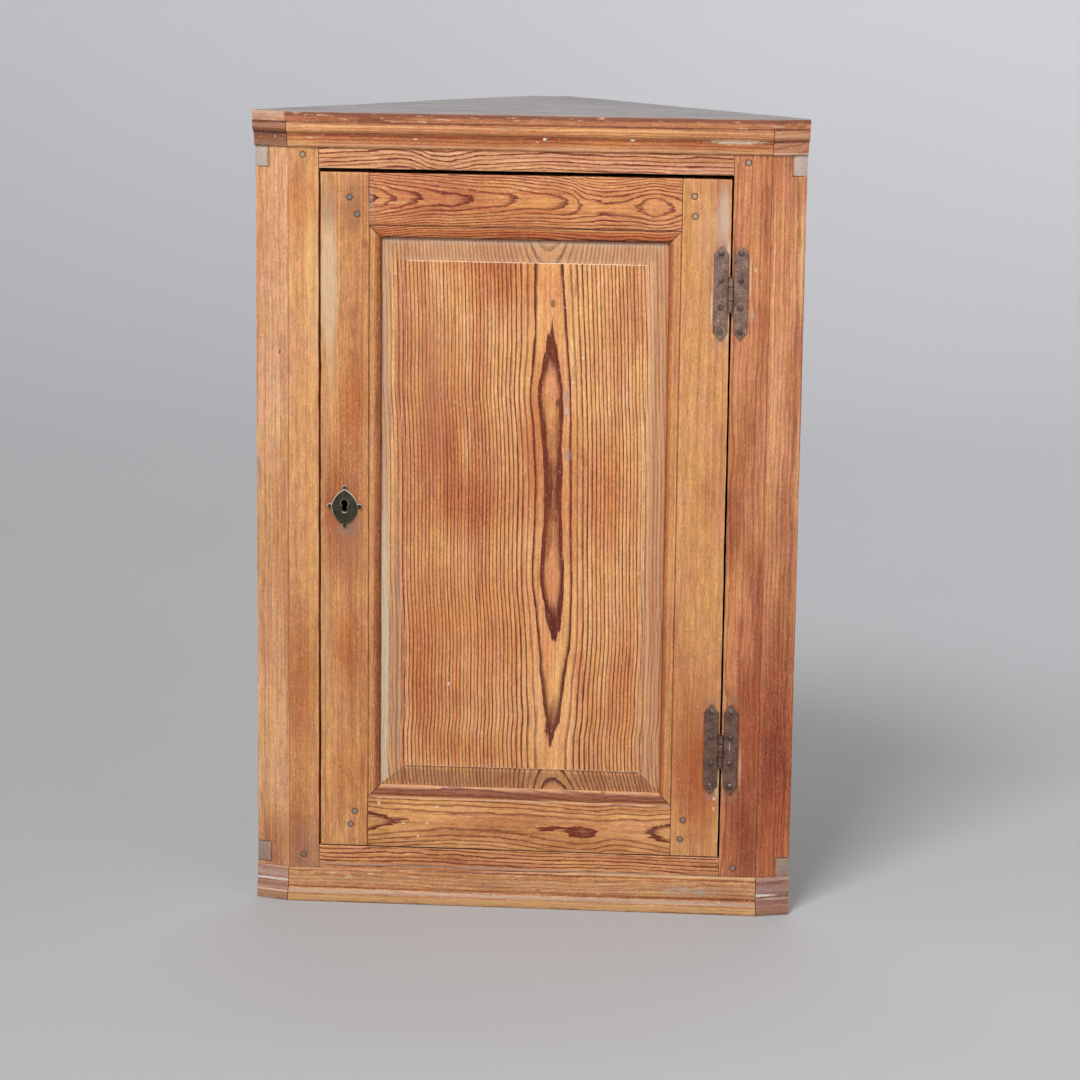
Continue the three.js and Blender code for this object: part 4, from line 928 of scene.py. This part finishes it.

# %% [markdown]
# ## Cornice, base and top
# The cornice and base are short lengths of moulding, mitred at the canted corners. Each
# length came from its own board, so their colours differ: the left return of the cornice
# is almost brown, the front is honey, and the base is darker, with dust in its hollow.
# Dark lines where a profile faces down, lies in a hollow or sits under a lip are painted
# shade, and pale lines where it faces up are painted highlights. The top board's upper
# face is painted silver grey, the pale reflection it shows from above.

# %% Moulding and top finishes
cornice_finish = old_pine(
    "cornice_pine_waxed", LEVEL, FRONT - 7, (760, 30), 3.6, 71.0, wander=5, uneven=2.0,
    pale="#e9b076", honey="#dc9c60", late="#985224", late_share=0.7, stain="#b0633f",
    stain_share=0.4,
    # the first two glazes are painted shade: the shadow under the top's lip and the curve that
    # faces down
    glazes=[(0, 891, LONG, 2.6, "#8a5030", 0.9, 0.6, 0.6),
            (0, 876.4, LONG, 3.4, "#b87c54", 0.9, 0.8, 0.7),
            (0, 872, LONG, 6, "#e0a888", 0.6, 0.9, 0.8)],
    # the first two marks are painted highlights, pale lines where the profile catches the light
    marks=[(0, 886.6, LONG, 1.0, "#e8b888", 0.7, 0.6, 0.6),
           (0, 865.4, LONG, 1.2, "#e0aa86", 0.7, 0.7, 0.6),
           (-242, 873.2, 4.5, 1.3, "#d8d2c8", 0.9, 0.6, 0.5),
           (17.3, 875.8, 2.4, 2.2, "#efece4", 0.95, 0.5, 0.5),
           (113.8, 876.4, 3.2, 1.4, "#efece4", 0.95, 0.5, 0.5),
           (-124.9, 873.2, 3, 1.0, "#efece4", 0.9, 0.5, 0.5),
           (9.6, 872.3, 2.4, 1.0, "#e8d9c4", 0.8, 0.5, 0.5),
           (228, 876.5, 36, 3.6, "#e4ceb0", 0.95, 1.6, 0.5)])
cornice_left_finish = old_pine(
    "cornice_left_pine_dark", LEFT_LENGTH, left_face - 7, (850, 30), 4.0, 73.0, pale="#ab7452",
    honey="#9a6044", late="#6c3c2c", late_share=0.5, stain="#7a4638", stain_share=0.4,
    # painted shade: the shadow under the top's lip and the curve that faces down
    glazes=[(left_edge - 20, 890.8, 300, 2.4, "#7a4c3c", 0.9, 0.5, 0.6),
            (left_edge - 20, 877.6, 300, 2.2, "#845040", 0.9, 0.5, 0.7)],
    # the last mark is a painted highlight on the upper curve
    marks=[(left_edge - 14, 873.5, 1.8, 1.8, "#c9b49c", 0.8, 0.4, 0.5),
           (left_edge - 20, 866.5, 300, 4.0, "#a27c68", 0.6, 0.8, 0.8),
           (left_edge - 20, 885.5, 300, 3.4, "#b4806a", 0.8, 0.6, 0.7)])
cornice_right_finish = old_pine(
    "cornice_right_pine_stained", RIGHT_LENGTH, right_face - 7, (850, 30), 4.0, 79.0,
    pale="#d49a74", honey="#c2825e", late="#84442e", late_share=0.55, stain="#9c5238",
    stain_share=0.3,
    # painted shade: the shadow under the top's lip and the curve that faces down
    glazes=[(right_edge + 20, 890.6, 300, 2.4, "#8a5442", 0.9, 0.5, 0.6),
            (right_edge + 20, 877.4, 300, 2.6, "#94584a", 0.9, 0.6, 0.7)],
    # both lines are painted highlights where the profile catches the light
    marks=[(right_edge + 20, 863.8, 300, 1.5, "#e6cdae", 0.85, 0.6, 0.6),
           (right_edge + 20, 884.0, 300, 2.6, "#d8a888", 0.5, 1.2, 0.8)])
base_finish = old_pine(
    "base_pine_stained", LEVEL, FRONT - 7, (60, 30), 4.0, 83.0, wander=12, uneven=2.0,
    pale="#d5a06a", honey="#c28652", late="#783a18", late_share=0.75, stain="#9a5234",
    stain_share=0.6, scuff_share=0.7, grit_share=0.26, fleck_share=1.3,
    # the second glaze is painted shade at the foot of the fascia
    glazes=[(0, 38.5, LONG, 1.6, "#c08c64", 0.8, 0.6, 0.6),
            (0, 16.5, LONG, 2.0, "#b07e5c", 0.8, 0.6, 0.6)],
    marks=[(0, 41.6, LONG, 1.3, "#dcae7c", 0.8, 0.6, 0.5),
           (0, 11.8, LONG, 2.6, "#b29a86", 0.8, 1.0, 0.8),
           (0, 4.8, LONG, 4.2, "#d6a870", 0.85, 0.5, 0.5),
           (0, 26, LONG, 8, "#cba47e", 0.35, 3.0, 0.8),
           (190, 25, 60, 8, "#ae9082", 0.55, 1.6, 0.9),
           (-216, 33, 4, 1.3, "#dcc8ac", 0.8, 1.2, 0.5),
           (-198, 29, 7, 2.4, "#cdb698", 0.7, 1.8, 0.5),
           (-173, 33, 5, 1.2, "#e0ccb0", 0.8, 1.4, 0.5),
           (-122, 31, 8, 1.3, "#d8c09e", 0.7, 1.8, 0.5),
           (-43, 25, 4.5, 2.2, "#8a6855", 0.8, 0.8, 0.5),
           (20, 20.5, 4, 2.0, "#84604c", 0.8, 0.8, 0.5),
           (96, 30, 9, 1.2, "#d8c09e", 0.7, 1.8, 0.5),
           (168, 24, 5, 3.0, "#b8a892", 0.75, 1.4, 0.5),
           (186, 27, 9, 3.2, "#b5a48c", 0.75, 1.6, 0.5),
           (205, 24, 6, 3.6, "#a89c8c", 0.75, 1.4, 0.5)])
base_left_finish = old_pine(
    "base_left_pine_dusty", LEFT_LENGTH, left_face - 7, (60, 30), 4.0, 89.0, pale="#b48c76",
    honey="#a47a64", late="#7a4e3e", late_share=0.5, stain="#9a6650", stain_share=0.4,
    # in the profile, the dark band at 15.5 is painted shade in the hollow, and the white line at
    # 22.5 is dust with a painted highlight where the step faces up
    marks=[(left_edge - 20, 30, 300, 5.0, "#c4a898", 0.75, 1.2, 0.9),
           (left_edge - 20, 39.5, 300, 2.6, "#b09a8c", 0.8, 1.0, 0.9),
           (left_edge - 20, 15.5, 300, 3.2, "#95694f", 0.8, 0.8, 0.7),
           (left_edge - 20, 5.0, 300, 4.0, "#b5835c", 0.8, 0.5, 0.5),
           (left_edge - 20, 10.0, 300, 1.3, "#e2bc9e", 0.85, 0.5, 0.5),
           (left_edge - 20, 22.5, 300, 1.7, "#efe4de", 0.95, 1.0, 0.6)])
base_right_finish = old_pine(
    "base_right_pine_dusty", RIGHT_LENGTH, right_face - 7, (60, 30), 4.0, 97.0, pale="#a67a66",
    honey="#946656", late="#6c4234", late_share=0.5, stain="#885444", stain_share=0.4,
    # in the profile, the dark band at 14 is painted shade in the hollow, and the white line at
    # 22.5 is dust with a painted highlight where the step faces up
    marks=[(right_edge + 20, 29, 300, 5, "#ab9088", 0.7, 1.2, 0.9),
           (right_edge + 20, 40.5, 300, 1.6, "#c4aa9c", 0.7, 0.8, 0.7),
           (right_edge + 20, 14, 300, 3, "#7c5040", 0.7, 0.8, 0.7),
           (right_edge + 20, 5, 300, 4.4, "#a4795c", 0.7, 0.5, 0.6),
           (right_edge + 4, 22.5, 24, 1.8, "#eee4de", 0.95, 1.0, 0.6),
           (right_edge + 24, 18.0, 22, 1.2, "#d8c8c0", 0.7, 1.2, 0.6)])


def reflecting_top(name):
    """Upper face painted silver grey as the pale reflection it shows, orange-brown front edge."""
    finish = old_pine(name, FLAT, -902.0, (-40, 46), 5.0, 101.0, wander=20, pale="#c4855a",
                      honey="#ae6a42", late="#7c3e24", late_share=0.8, stain="#945038",
                      stain_share=0.5)
    tree = finish.node_tree
    shader = tree.nodes["Principled BSDF"]
    wood = shader.inputs["Base Color"].links[0].from_socket
    place = add(tree, "TexCoord", out="Object")
    normal = add(tree, "TexCoord", out="Normal")
    facing = add(tree, "SeparateXYZ", (normal,)).node.outputs
    # painted reflection: faces that look up are painted silver grey, the pale reflection the top
    # shows from above
    upper = add(tree, "MapRange smoothstep", (facing[2], 0.5, 0.8))
    streak_place = add(tree, "VectorMath multiply", (place, (9, 90, 90)))
    streak = add(tree, "TexNoise", {"Vector": streak_place, "Scale": 1.0, "Detail": 4.0})
    tone = add(tree, "MapRange", (streak, 0.35, 0.65))
    grey = add(tree, "Mix", (tone, "#7c7572", "#9a9390"))
    with_reflection = add(tree, "Mix", (upper, wood, grey))
    # The edge is darker and redder along its top, with pale chips, and cream on the left return
    tall = add(tree, "SeparateXYZ", (place,)).node.outputs[2]
    chip_place = add(tree, "VectorMath multiply", (place, (45, 45, 260)))
    chip = add(tree, "TexNoise",
               {"Vector": chip_place, "Scale": 1.0, "Detail": 4.0, "Roughness": 0.65})
    rim = add(tree, "Math multiply_add", (chip, 0.006, tall))
    rim = add(tree, "MapRange smoothstep", (rim, 0.8990, 0.9010, 0.0, 0.88))
    level = add(tree, "MapRange", (facing[2], 0.5, 0.2))
    rim = add(tree, "Math multiply", (rim, level))
    with_reflection = add(tree, "Mix", (rim, with_reflection, "#7a4430"))
    chips = add(tree, "MapRange smoothstep", (chip, 0.59, 0.66, 0.0, 0.75))
    chips = add(tree, "Math multiply", (chips, level))
    with_reflection = add(tree, "Mix", (chips, with_reflection, "#dcae8a"))
    side = add(tree, "MapRange", (facing[0], -0.15, -0.28, 0.0, 0.85))
    bare = add(tree, "MapRange", (chip, 0.36, 0.6, 0.5, 1.0))
    side = add(tree, "Math multiply", (side, bare))
    with_reflection = add(tree, "Mix", (side, with_reflection, "#dcae92"))
    fill(tree, shader.inputs, {"Base Color": with_reflection})
    return finish


top_finish = reflecting_top("top_pine_reflection_grey")

# %% Mouldings and top board
for seed, (node, finish, slot, step, waver) in enumerate((
        ("cornice_front", cornice_finish, "pine_honey", 14, 0.4),
        ("cornice_left", cornice_left_finish, "pine_red", 8, 0.3),
        ("cornice_right", cornice_right_finish, "pine_honey", 8, 0.3),
        ("base_moulding_front", base_finish, "pine_honey", 14, 0.5),
        ("base_moulding_left", base_left_finish, "pine_red", 8, 0.3),
        ("base_moulding_right", base_right_finish, "pine_red", 8, 0.3)), 13):
    worn(node, finish, fine=0.4, axis=0, step=step, waver=waver, seed=seed)
worn("top_board", top_finish, fine=1.3, axis=0, step=12, waver=0.5, seed=19)

# %% [markdown]
# ## Inside and behind
# The walls, shelves, bearers, floor and ceiling are plain pine that was never waxed. It
# has gone a dull brown.

# %% Inner finishes and boards
ROOT_HALF = math.sqrt(0.5)
LEFT_WALL = ((0, 0, 1), (ROOT_HALF, ROOT_HALF, 0), (ROOT_HALF, -ROOT_HALF, 0))
RIGHT_WALL = ((0, 0, 1), (ROOT_HALF, -ROOT_HALF, 0), (-ROOT_HALF, -ROOT_HALF, 0))
BARE = dict(pale="#c29b6c", honey="#b08658", late="#7a4f30", late_share=0.6, stain="#8a6448",
            stain_share=0.4, sheen=0.68)
BOARD_ENDS = [(sign * 306, 0, 18, LONG, "#cbbab0", 1.0, 0.2, 0.3) for sign in (-1, 1)]
BOARD_ENDS += [(sign * 306, 0, 14, LONG, "#9f8d84", 0.35, 2.2, 0.9) for sign in (-1, 1)]
DUSTY_ENDS = [(sign * 306, 0, 18, LONG, "#9d8880", 0.95, 0.3, 0.3) for sign in (-1, 1)]
DUSTY_ENDS += [(sign * 306, 0, 14, LONG, "#8f8078", 0.5, 2.2, 0.9) for sign in (-1, 1)]
inner_boards = (
    ("wall_plank_left_front", "wall_pine_bare_1", LEFT_WALL, -290.0, (-40, 40), 5.0, 103.0, ()),
    ("wall_plank_left_rear", "wall_pine_bare_2", LEFT_WALL, -290.0, (90, 36), 4.4, 107.0, ()),
    ("wall_plank_right_front", "wall_pine_bare_3", RIGHT_WALL, -290.0, (150, 44), 4.6, 109.0, ()),
    ("wall_plank_right_rear", "wall_pine_bare_4", RIGHT_WALL, -290.0, (20, 38), 5.2, 113.0, ()),
    ("rear_corner_slat", "slat_pine_bare", UPRIGHT, 138.8, (60, 30), 4.6, 127.0, ()),
    ("shelf_lower", "shelf_pine_bare_1", FLAT, -322.8, (20, 40), 4.8, 131.0, ()),
    ("shelf_upper", "shelf_pine_bare_2", FLAT, -581.2, (-30, 34), 5.2, 137.0, ()),
    ("carcass_floor", "floor_pine_bare", FLAT, -64.5, (10, 40), 5.0, 139.0, DUSTY_ENDS),
    ("carcass_ceiling", "ceiling_pine_bare", FLAT, -862.5, (30, 36), 4.6, 149.0, BOARD_ENDS))
for seed, (node, name, axes, face, pith, ring, growth, marks) in enumerate(inner_boards, 20):
    finish = old_pine(name, axes, face, pith, ring, growth, marks=marks, **BARE)
    worn(node, finish, fine=0.5, axis=0 if axes == FLAT else 2, step=24, waver=0.4,
         seed=seed)
bearer_finish = old_pine("bearer_pine_bare", LEFT_WALL, -290.0, (30, 30), 4.0, 151.0, **BARE)
for seed, node in enumerate(("shelf_bearer_lower_left", "shelf_bearer_lower_right",
                             "shelf_bearer_upper_left", "shelf_bearer_upper_right"), 40):
    worn(node, bearer_finish, fine=0.8, axis=0, step=20, waver=0.5, seed=seed)

# %% [markdown]
# ## Pegs
# Each joint is held by an oak or pine peg that was driven in and pared off. The eye sees
# its end grain: a grey disc with a dark ring of dirt round it.

# %% Peg end grain
def peg_wood(name, centre, face_colour, ring_colour):
    """End grain: rings round the peg's own middle, darker at the rim."""
    finish, tree, shader = new_finish(name)
    place = add(tree, "TexCoord", out="Object")
    local = add(tree, "VectorMath subtract", (place, [part * MM for part in centre]))
    local = add(tree, "VectorMath multiply", (local, (1 / MM, 0.02 / MM, 1 / MM)))
    far = add(tree, "VectorMath length", (local,), out="Value")
    speck = add(tree, "TexNoise", {"Vector": local, "Scale": 1.4, "Detail": 3.0})
    wobble = add(tree, "Math multiply_add", (speck, 1.6, far))
    rim = add(tree, "MapRange smoothstep", (wobble, 2.9, 3.7))
    rings = add(tree, "TexWave",
                {"Vector": local, "Scale": 0.55, "Distortion": 1.5, "Detail": 2.0},
                out="Fac", wave_type="RINGS", rings_direction="Y")
    pale = add(tree, "Mix", (rings, face_colour, ring_colour))
    speckled = add(tree, "MapRange", (speck, 0.3, 0.7, 0.82, 1.12))
    pale = add(tree, "VectorMath scale", {0: pale, "Scale": speckled})
    colour = add(tree, "Mix", (rim, pale, "#7c5a46"))
    bump = add(tree, "Bump", {"Strength": 0.6, "Distance": 0.3 * MM, "Height": speck})
    fill(tree, shader.inputs,
         {"Base Color": colour, "Roughness": 0.7, "IOR": WOOD_IOR, "Normal": bump})
    return finish


PEG_TONES = {"lock_upper": ("#8a8684", "#66605e"), "lock_lower": ("#ab9686", "#8c7466"),
             "hinge_upper": ("#bfab90", "#a58c74"), "hinge_lower": ("#a08878", "#806858"),
             "upper_left": ("#b79c80", "#9c8068"), "upper_right": ("#bba693", "#9c8474"),
             "lower_left": ("#96786a", "#7c6054"), "lower_right": ("#a08c82", "#80685c")}
for node in sorted(name for name in frame["nodes"] if "_peg_" in name):
    low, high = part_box(node)
    centre = (low + high) / 2 / MM
    tones = next(tones for place, tones in PEG_TONES.items() if place in node)
    finish = peg_wood("end_grain_" + node, centre, *tones)
    worn(node, finish, fine=0.3, step=0)

# %% [markdown]
# ## Ironwork
# The hinges are wrought iron: hammered thin, nailed on, and brown with old rust under
# wax. Rust is not bare metal, so it is mostly a rough, dull skin, and only rubbed places
# show iron. The lock behind the door is dark sheet iron.

# %% Wrought iron
def rusty_iron(name, dark, brown, bright, marks=(), gloss_low=0.42, metal_low=0.35):
    """Iron under a brown skin of old rust; high spots are rubbed bare."""
    finish, tree, shader = new_finish(name)
    place = add(tree, "TexCoord", out="Object")
    board = board_place(tree, UPRIGHT)[1]
    blotch = add(tree, "TexNoise",
                 {"Vector": place, "Scale": 90.0, "Detail": 5.0, "Roughness": 0.6})
    pit = add(tree, "TexNoise", {"Vector": place, "Scale": 420.0, "Detail": 4.0, "Roughness": 0.6})
    tone = add(tree, "MapRange", (blotch, 0.35, 0.65))
    colour = add(tree, "Mix", (tone, dark, brown))
    speck = add(tree, "MapRange", (pit, 0.32, 0.68, 0.6, 1.4))
    colour = add(tree, "VectorMath scale", {0: colour, "Scale": speck})
    arris = add(tree, "Attribute", attribute_name="arris", out="Fac")
    rub = add(tree, "MapRange", (blotch, 0.42, 0.60, 0.0, 0.25))
    rub = add(tree, "Math multiply", (rub, arris))
    colour = add(tree, "Mix", (rub, colour, bright))
    for mark in marks:
        colour = laid_on(tree, board, None, colour, pit, mark, "MIX")
    seam = add(tree, "Attribute", attribute_name="seam", out="Fac")
    colour = add(tree, "Mix", (seam, colour, "#1d1410"))
    metal = add(tree, "Math", (rub, metal_low))
    gloss = add(tree, "MapRange", (pit, 0.3, 0.7, gloss_low, gloss_low + 0.2))
    height = add(tree, "Math multiply_add", (blotch, 1.5, pit))
    bump = add(tree, "Bump", {"Strength": 0.6, "Distance": 0.3 * MM, "Height": height})
    fill(tree, shader.inputs,
         {"Base Color": colour, "Metallic": metal, "Roughness": gloss, "Normal": bump})
    return finish


HINGE_X, LEAF_OUT = 224.4, 11.05
HINGE_HEIGHTS = {"upper": 710.4, "lower": 192.2}
NAIL_HEIGHTS = (44.7, 14.6, -15.6, -42.6)
DIRT_AND_SHADOW, SCRATCH = "#33241e", "#e9e2dc"
dirt_and_shadow_marks = {}
for place, height in HINGE_HEIGHTS.items():
    spots = dirt_and_shadow_marks[place] = []
    for side in (-1, 1):
        across = HINGE_X + side * LEAF_OUT
        for rise in NAIL_HEIGHTS:
            # a dark spot just below each nail: dirt, with the painted shadow under its head
            spots.append((height + rise - 1.0, across - 0.5, 4.6, 4.4, DIRT_AND_SHADOW, 0.75, 0.9, 0.6))
        # the edges of each leaf are darker, where wax and dirt lie against the wood
        for edge in (-8.0, 8.0):
            spots.append((height, across + edge, LONG, 1.0, DIRT_AND_SHADOW, 0.55, 0.9, 0.8))
    for share in (-0.5, -0.16, 0.24, 0.5):
        spots.append((height - 2 + 39 * share, HINGE_X, 0.8, 3.4, "#150e0b", 0.9, 0.2, 0.4))
dirt_and_shadow_marks["upper"] += [(736, HINGE_X + 0.5, 2.2, 2.2, "#b9aba2", 0.7, 0.8, 0.5),
                        (682, 211.5, 5, 0.5, "#cfc4bc", 0.7, 0.6, 0.5)]
dirt_and_shadow_marks["lower"] += [(196, 234.4, 6, 0.55, SCRATCH, 0.9, 0.5, 0.4),
                        (214, HINGE_X + 0.5, 2.0, 2.2, "#a89a90", 0.6, 0.8, 0.5)]
upper_iron = rusty_iron("wrought_iron_upper", "#765a4e", "#9c7d6e", "#c2b2a6",
                        marks=dirt_and_shadow_marks["upper"])
lower_iron = rusty_iron("wrought_iron_lower", "#5d4437", "#826254", "#ab9a8f",
                        marks=dirt_and_shadow_marks["lower"])
for node in sorted(name for name in frame["nodes"] if name.startswith("hinge_")):
    finish = upper_iron if node.endswith("upper") else lower_iron
    worn(node, finish, fine=0.5, step=3, waver=0.5, seed=5)

# %% [markdown]
# ## Nail heads
# The leaves hang on forged nails. The smith struck each head with a few blows, so it is a
# low pyramid with four or five uneven facets, and each differs. A head is built as rings
# of points round its middle, pushed in and out at random; the facets catch the light on
# their upper left and leave a dark foot.

# %% Forged nail heads
def nail_heads(name, node, places, outward, finish, seed):
    """Forged heads on a face that looks forward (-1) or back (1); they ride with the node."""
    body = frame["nodes"][node]["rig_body"]
    chance = random.Random(seed)
    bm = bmesh.new()
    for across, face, height, is_large in places:
        middle = Vector((across + chance.uniform(-0.5, 0.5), face, height))
        size = chance.uniform(2.9, 3.4) if is_large else chance.uniform(2.75, 2.95)
        tall = chance.uniform(1.7, 2.2)
        facets = chance.choice((6, 7, 7))
        start_angle = chance.uniform(0, 6.28)
        rings = []
        for out, up_share in ((1.0, -0.1), (1.02, 0.35), (0.62, 0.86)):
            ring_points = []
            for facet in range(facets):
                angle = start_angle + facet * 2 * math.pi / facets
                reach = size * out * (1 + chance.uniform(-0.1, 0.1))
                point = middle + Vector((reach * math.cos(angle), outward * tall * up_share,
                                         reach * math.sin(angle)))
                ring_points.append(bm.verts.new(point * MM))
            rings.append(ring_points)
        crown = Vector((chance.uniform(-0.6, 0.6), outward * tall, chance.uniform(-0.6, 0.6)))
        crown = bm.verts.new((middle + crown) * MM)
        for low_ring, high_ring in zip(rings, rings[1:]):
            for facet in range(facets):
                after = (facet + 1) % facets
                bm.faces.new((low_ring[facet], low_ring[after], high_ring[after],
                              high_ring[facet]))
        for facet in range(facets):
            bm.faces.new((rings[-1][facet], rings[-1][(facet + 1) % facets], crown))
        bm.faces.new(rings[0][::-1])
    bmesh.ops.recalc_face_normals(bm, faces=bm.faces)
    edges = [edge for edge in bm.edges if edge.calc_face_angle(0) > math.radians(20)]
    bmesh.ops.bevel(bm, geom=edges, offset=0.18 * MM, offset_type="OFFSET", segments=2,
                    profile=0.6, affect="EDGES", clamp_overlap=True)
    mesh = bpy.data.meshes.new(name)
    bm.to_mesh(mesh)
    bm.free()
    mesh.polygons.foreach_set("use_smooth", [True] * len(mesh.polygons))
    mesh.set_sharp_from_angle(angle=math.radians(24))
    mesh.materials.append(finish)
    piece = bpy.data.objects.new(name, mesh)
    bpy.context.scene.collection.objects.link(piece)
    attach(piece, body)
    print(piece.name, len(mesh.polygons), "faces")


LEAF_THICKNESS = 1.8
nail_iron = rusty_iron("forged_nail_iron", "#5c483e", "#8c7a70", "#c8beb4", gloss_low=0.26,
                       metal_low=0.55)
for seed, (node, side) in enumerate((
        ("hinge_leaf_door_upper", -1), ("hinge_leaf_frame_upper", 1),
        ("hinge_leaf_door_lower", -1), ("hinge_leaf_frame_lower", 1)), 60):
    height = HINGE_HEIGHTS[node.rsplit("_", 1)[1]]
    places = [(HINGE_X + side * LEAF_OUT, FRONT - LEAF_THICKNESS, height + rise, at in (0, 3))
              for at, rise in enumerate(NAIL_HEIGHTS)]
    nail_heads("nail_heads_" + node[11:], node, places, -1, nail_iron, seed)
lock_iron = rusty_iron("sheet_iron_oiled", "#332d29", "#4a423c", "#8a8178")
for node in ("lock_case", "lock_bolt", "lock_spring", "lock_drill_pin", "strike_plate"):
    worn(node, lock_iron, fine=0.2, step=0)
# Four nails hold the lock case to the stile; their heads stand near its corners, inside the door
NAIL_INSET = 6.0
case_low, case_high = (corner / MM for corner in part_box("lock_case"))
case_places = [(across, case_high.y, height, False)
               for across in (case_low.x + NAIL_INSET, case_high.x - NAIL_INSET)
               for height in (case_low.z + NAIL_INSET, case_high.z - NAIL_INSET)]
nail_heads("nail_heads_lock_case", "lock_case", case_places, 1, lock_iron, 70)

# %% [markdown]
# ## The escutcheon
# A small cast brass plate with four round lobes and a keyhole. Its patina is almost
# black with a green cast; the raised rim is worn and polish-pale round its outline, with a
# painted highlight where it faces up and to the left, and polish has dried pale in the
# foot of the keyhole.

# %% Patinated brass
def patinated_brass(name):
    """Brass under an olive-black patina."""
    finish, tree, shader = new_finish(name)
    place = add(tree, "TexCoord", out="Object")
    blotch = add(tree, "TexNoise", {"Vector": place, "Scale": 160.0, "Detail": 4.0})
    tone = add(tree, "MapRange", (blotch, 0.35, 0.65))
    colour = add(tree, "Mix", (tone, "#2e2c20", "#47432f"))
    board = board_place(tree, UPRIGHT)[1]
    dried_polish = (467, KEYHOLE_X, 9.5, 6.5, "#5d504c", 0.75, 0.7, 0.7)
    colour = laid_on(tree, board, None, colour, blotch, dried_polish, "MIX")
    arris = add(tree, "Attribute", attribute_name="arris", out="Fac")
    normal = add(tree, "TexCoord", out="Normal")
    # the rim is paler where it is worn, and more so where it faces up and to the left: a painted
    # highlight
    upward = add(tree, "VectorMath dot_product", (normal, (-0.45, 0.0, 0.9)), out="Value")
    wear_and_highlight = add(tree, "MapRange", (upward, -0.35, 0.15, 0.12, 0.95))
    rub = add(tree, "Math multiply", (wear_and_highlight, arris))
    colour = add(tree, "Mix", (rub, colour, "#d6cfb6"))
    metal = add(tree, "MapRange", (rub, 0.0, 0.5, 0.45, 0.0))
    gloss = add(tree, "MapRange", (blotch, 0.3, 0.7, 0.38, 0.55))
    bump = add(tree, "Bump", {"Strength": 0.4, "Distance": 0.2 * MM, "Height": blotch})
    fill(tree, shader.inputs,
         {"Base Color": colour, "Metallic": metal, "Roughness": gloss, "Normal": bump})
    return finish


worn("escutcheon", patinated_brass("patinated_brass"), fine=0.6, step=0)

# %% [markdown]
# ## Closing
# The size of what shows is printed last.

# %% Sizes
bpy.context.view_layer.update()
low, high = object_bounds()
print("visual box, mm:", [round(value / MM, 1) for value in (*low, *high)])
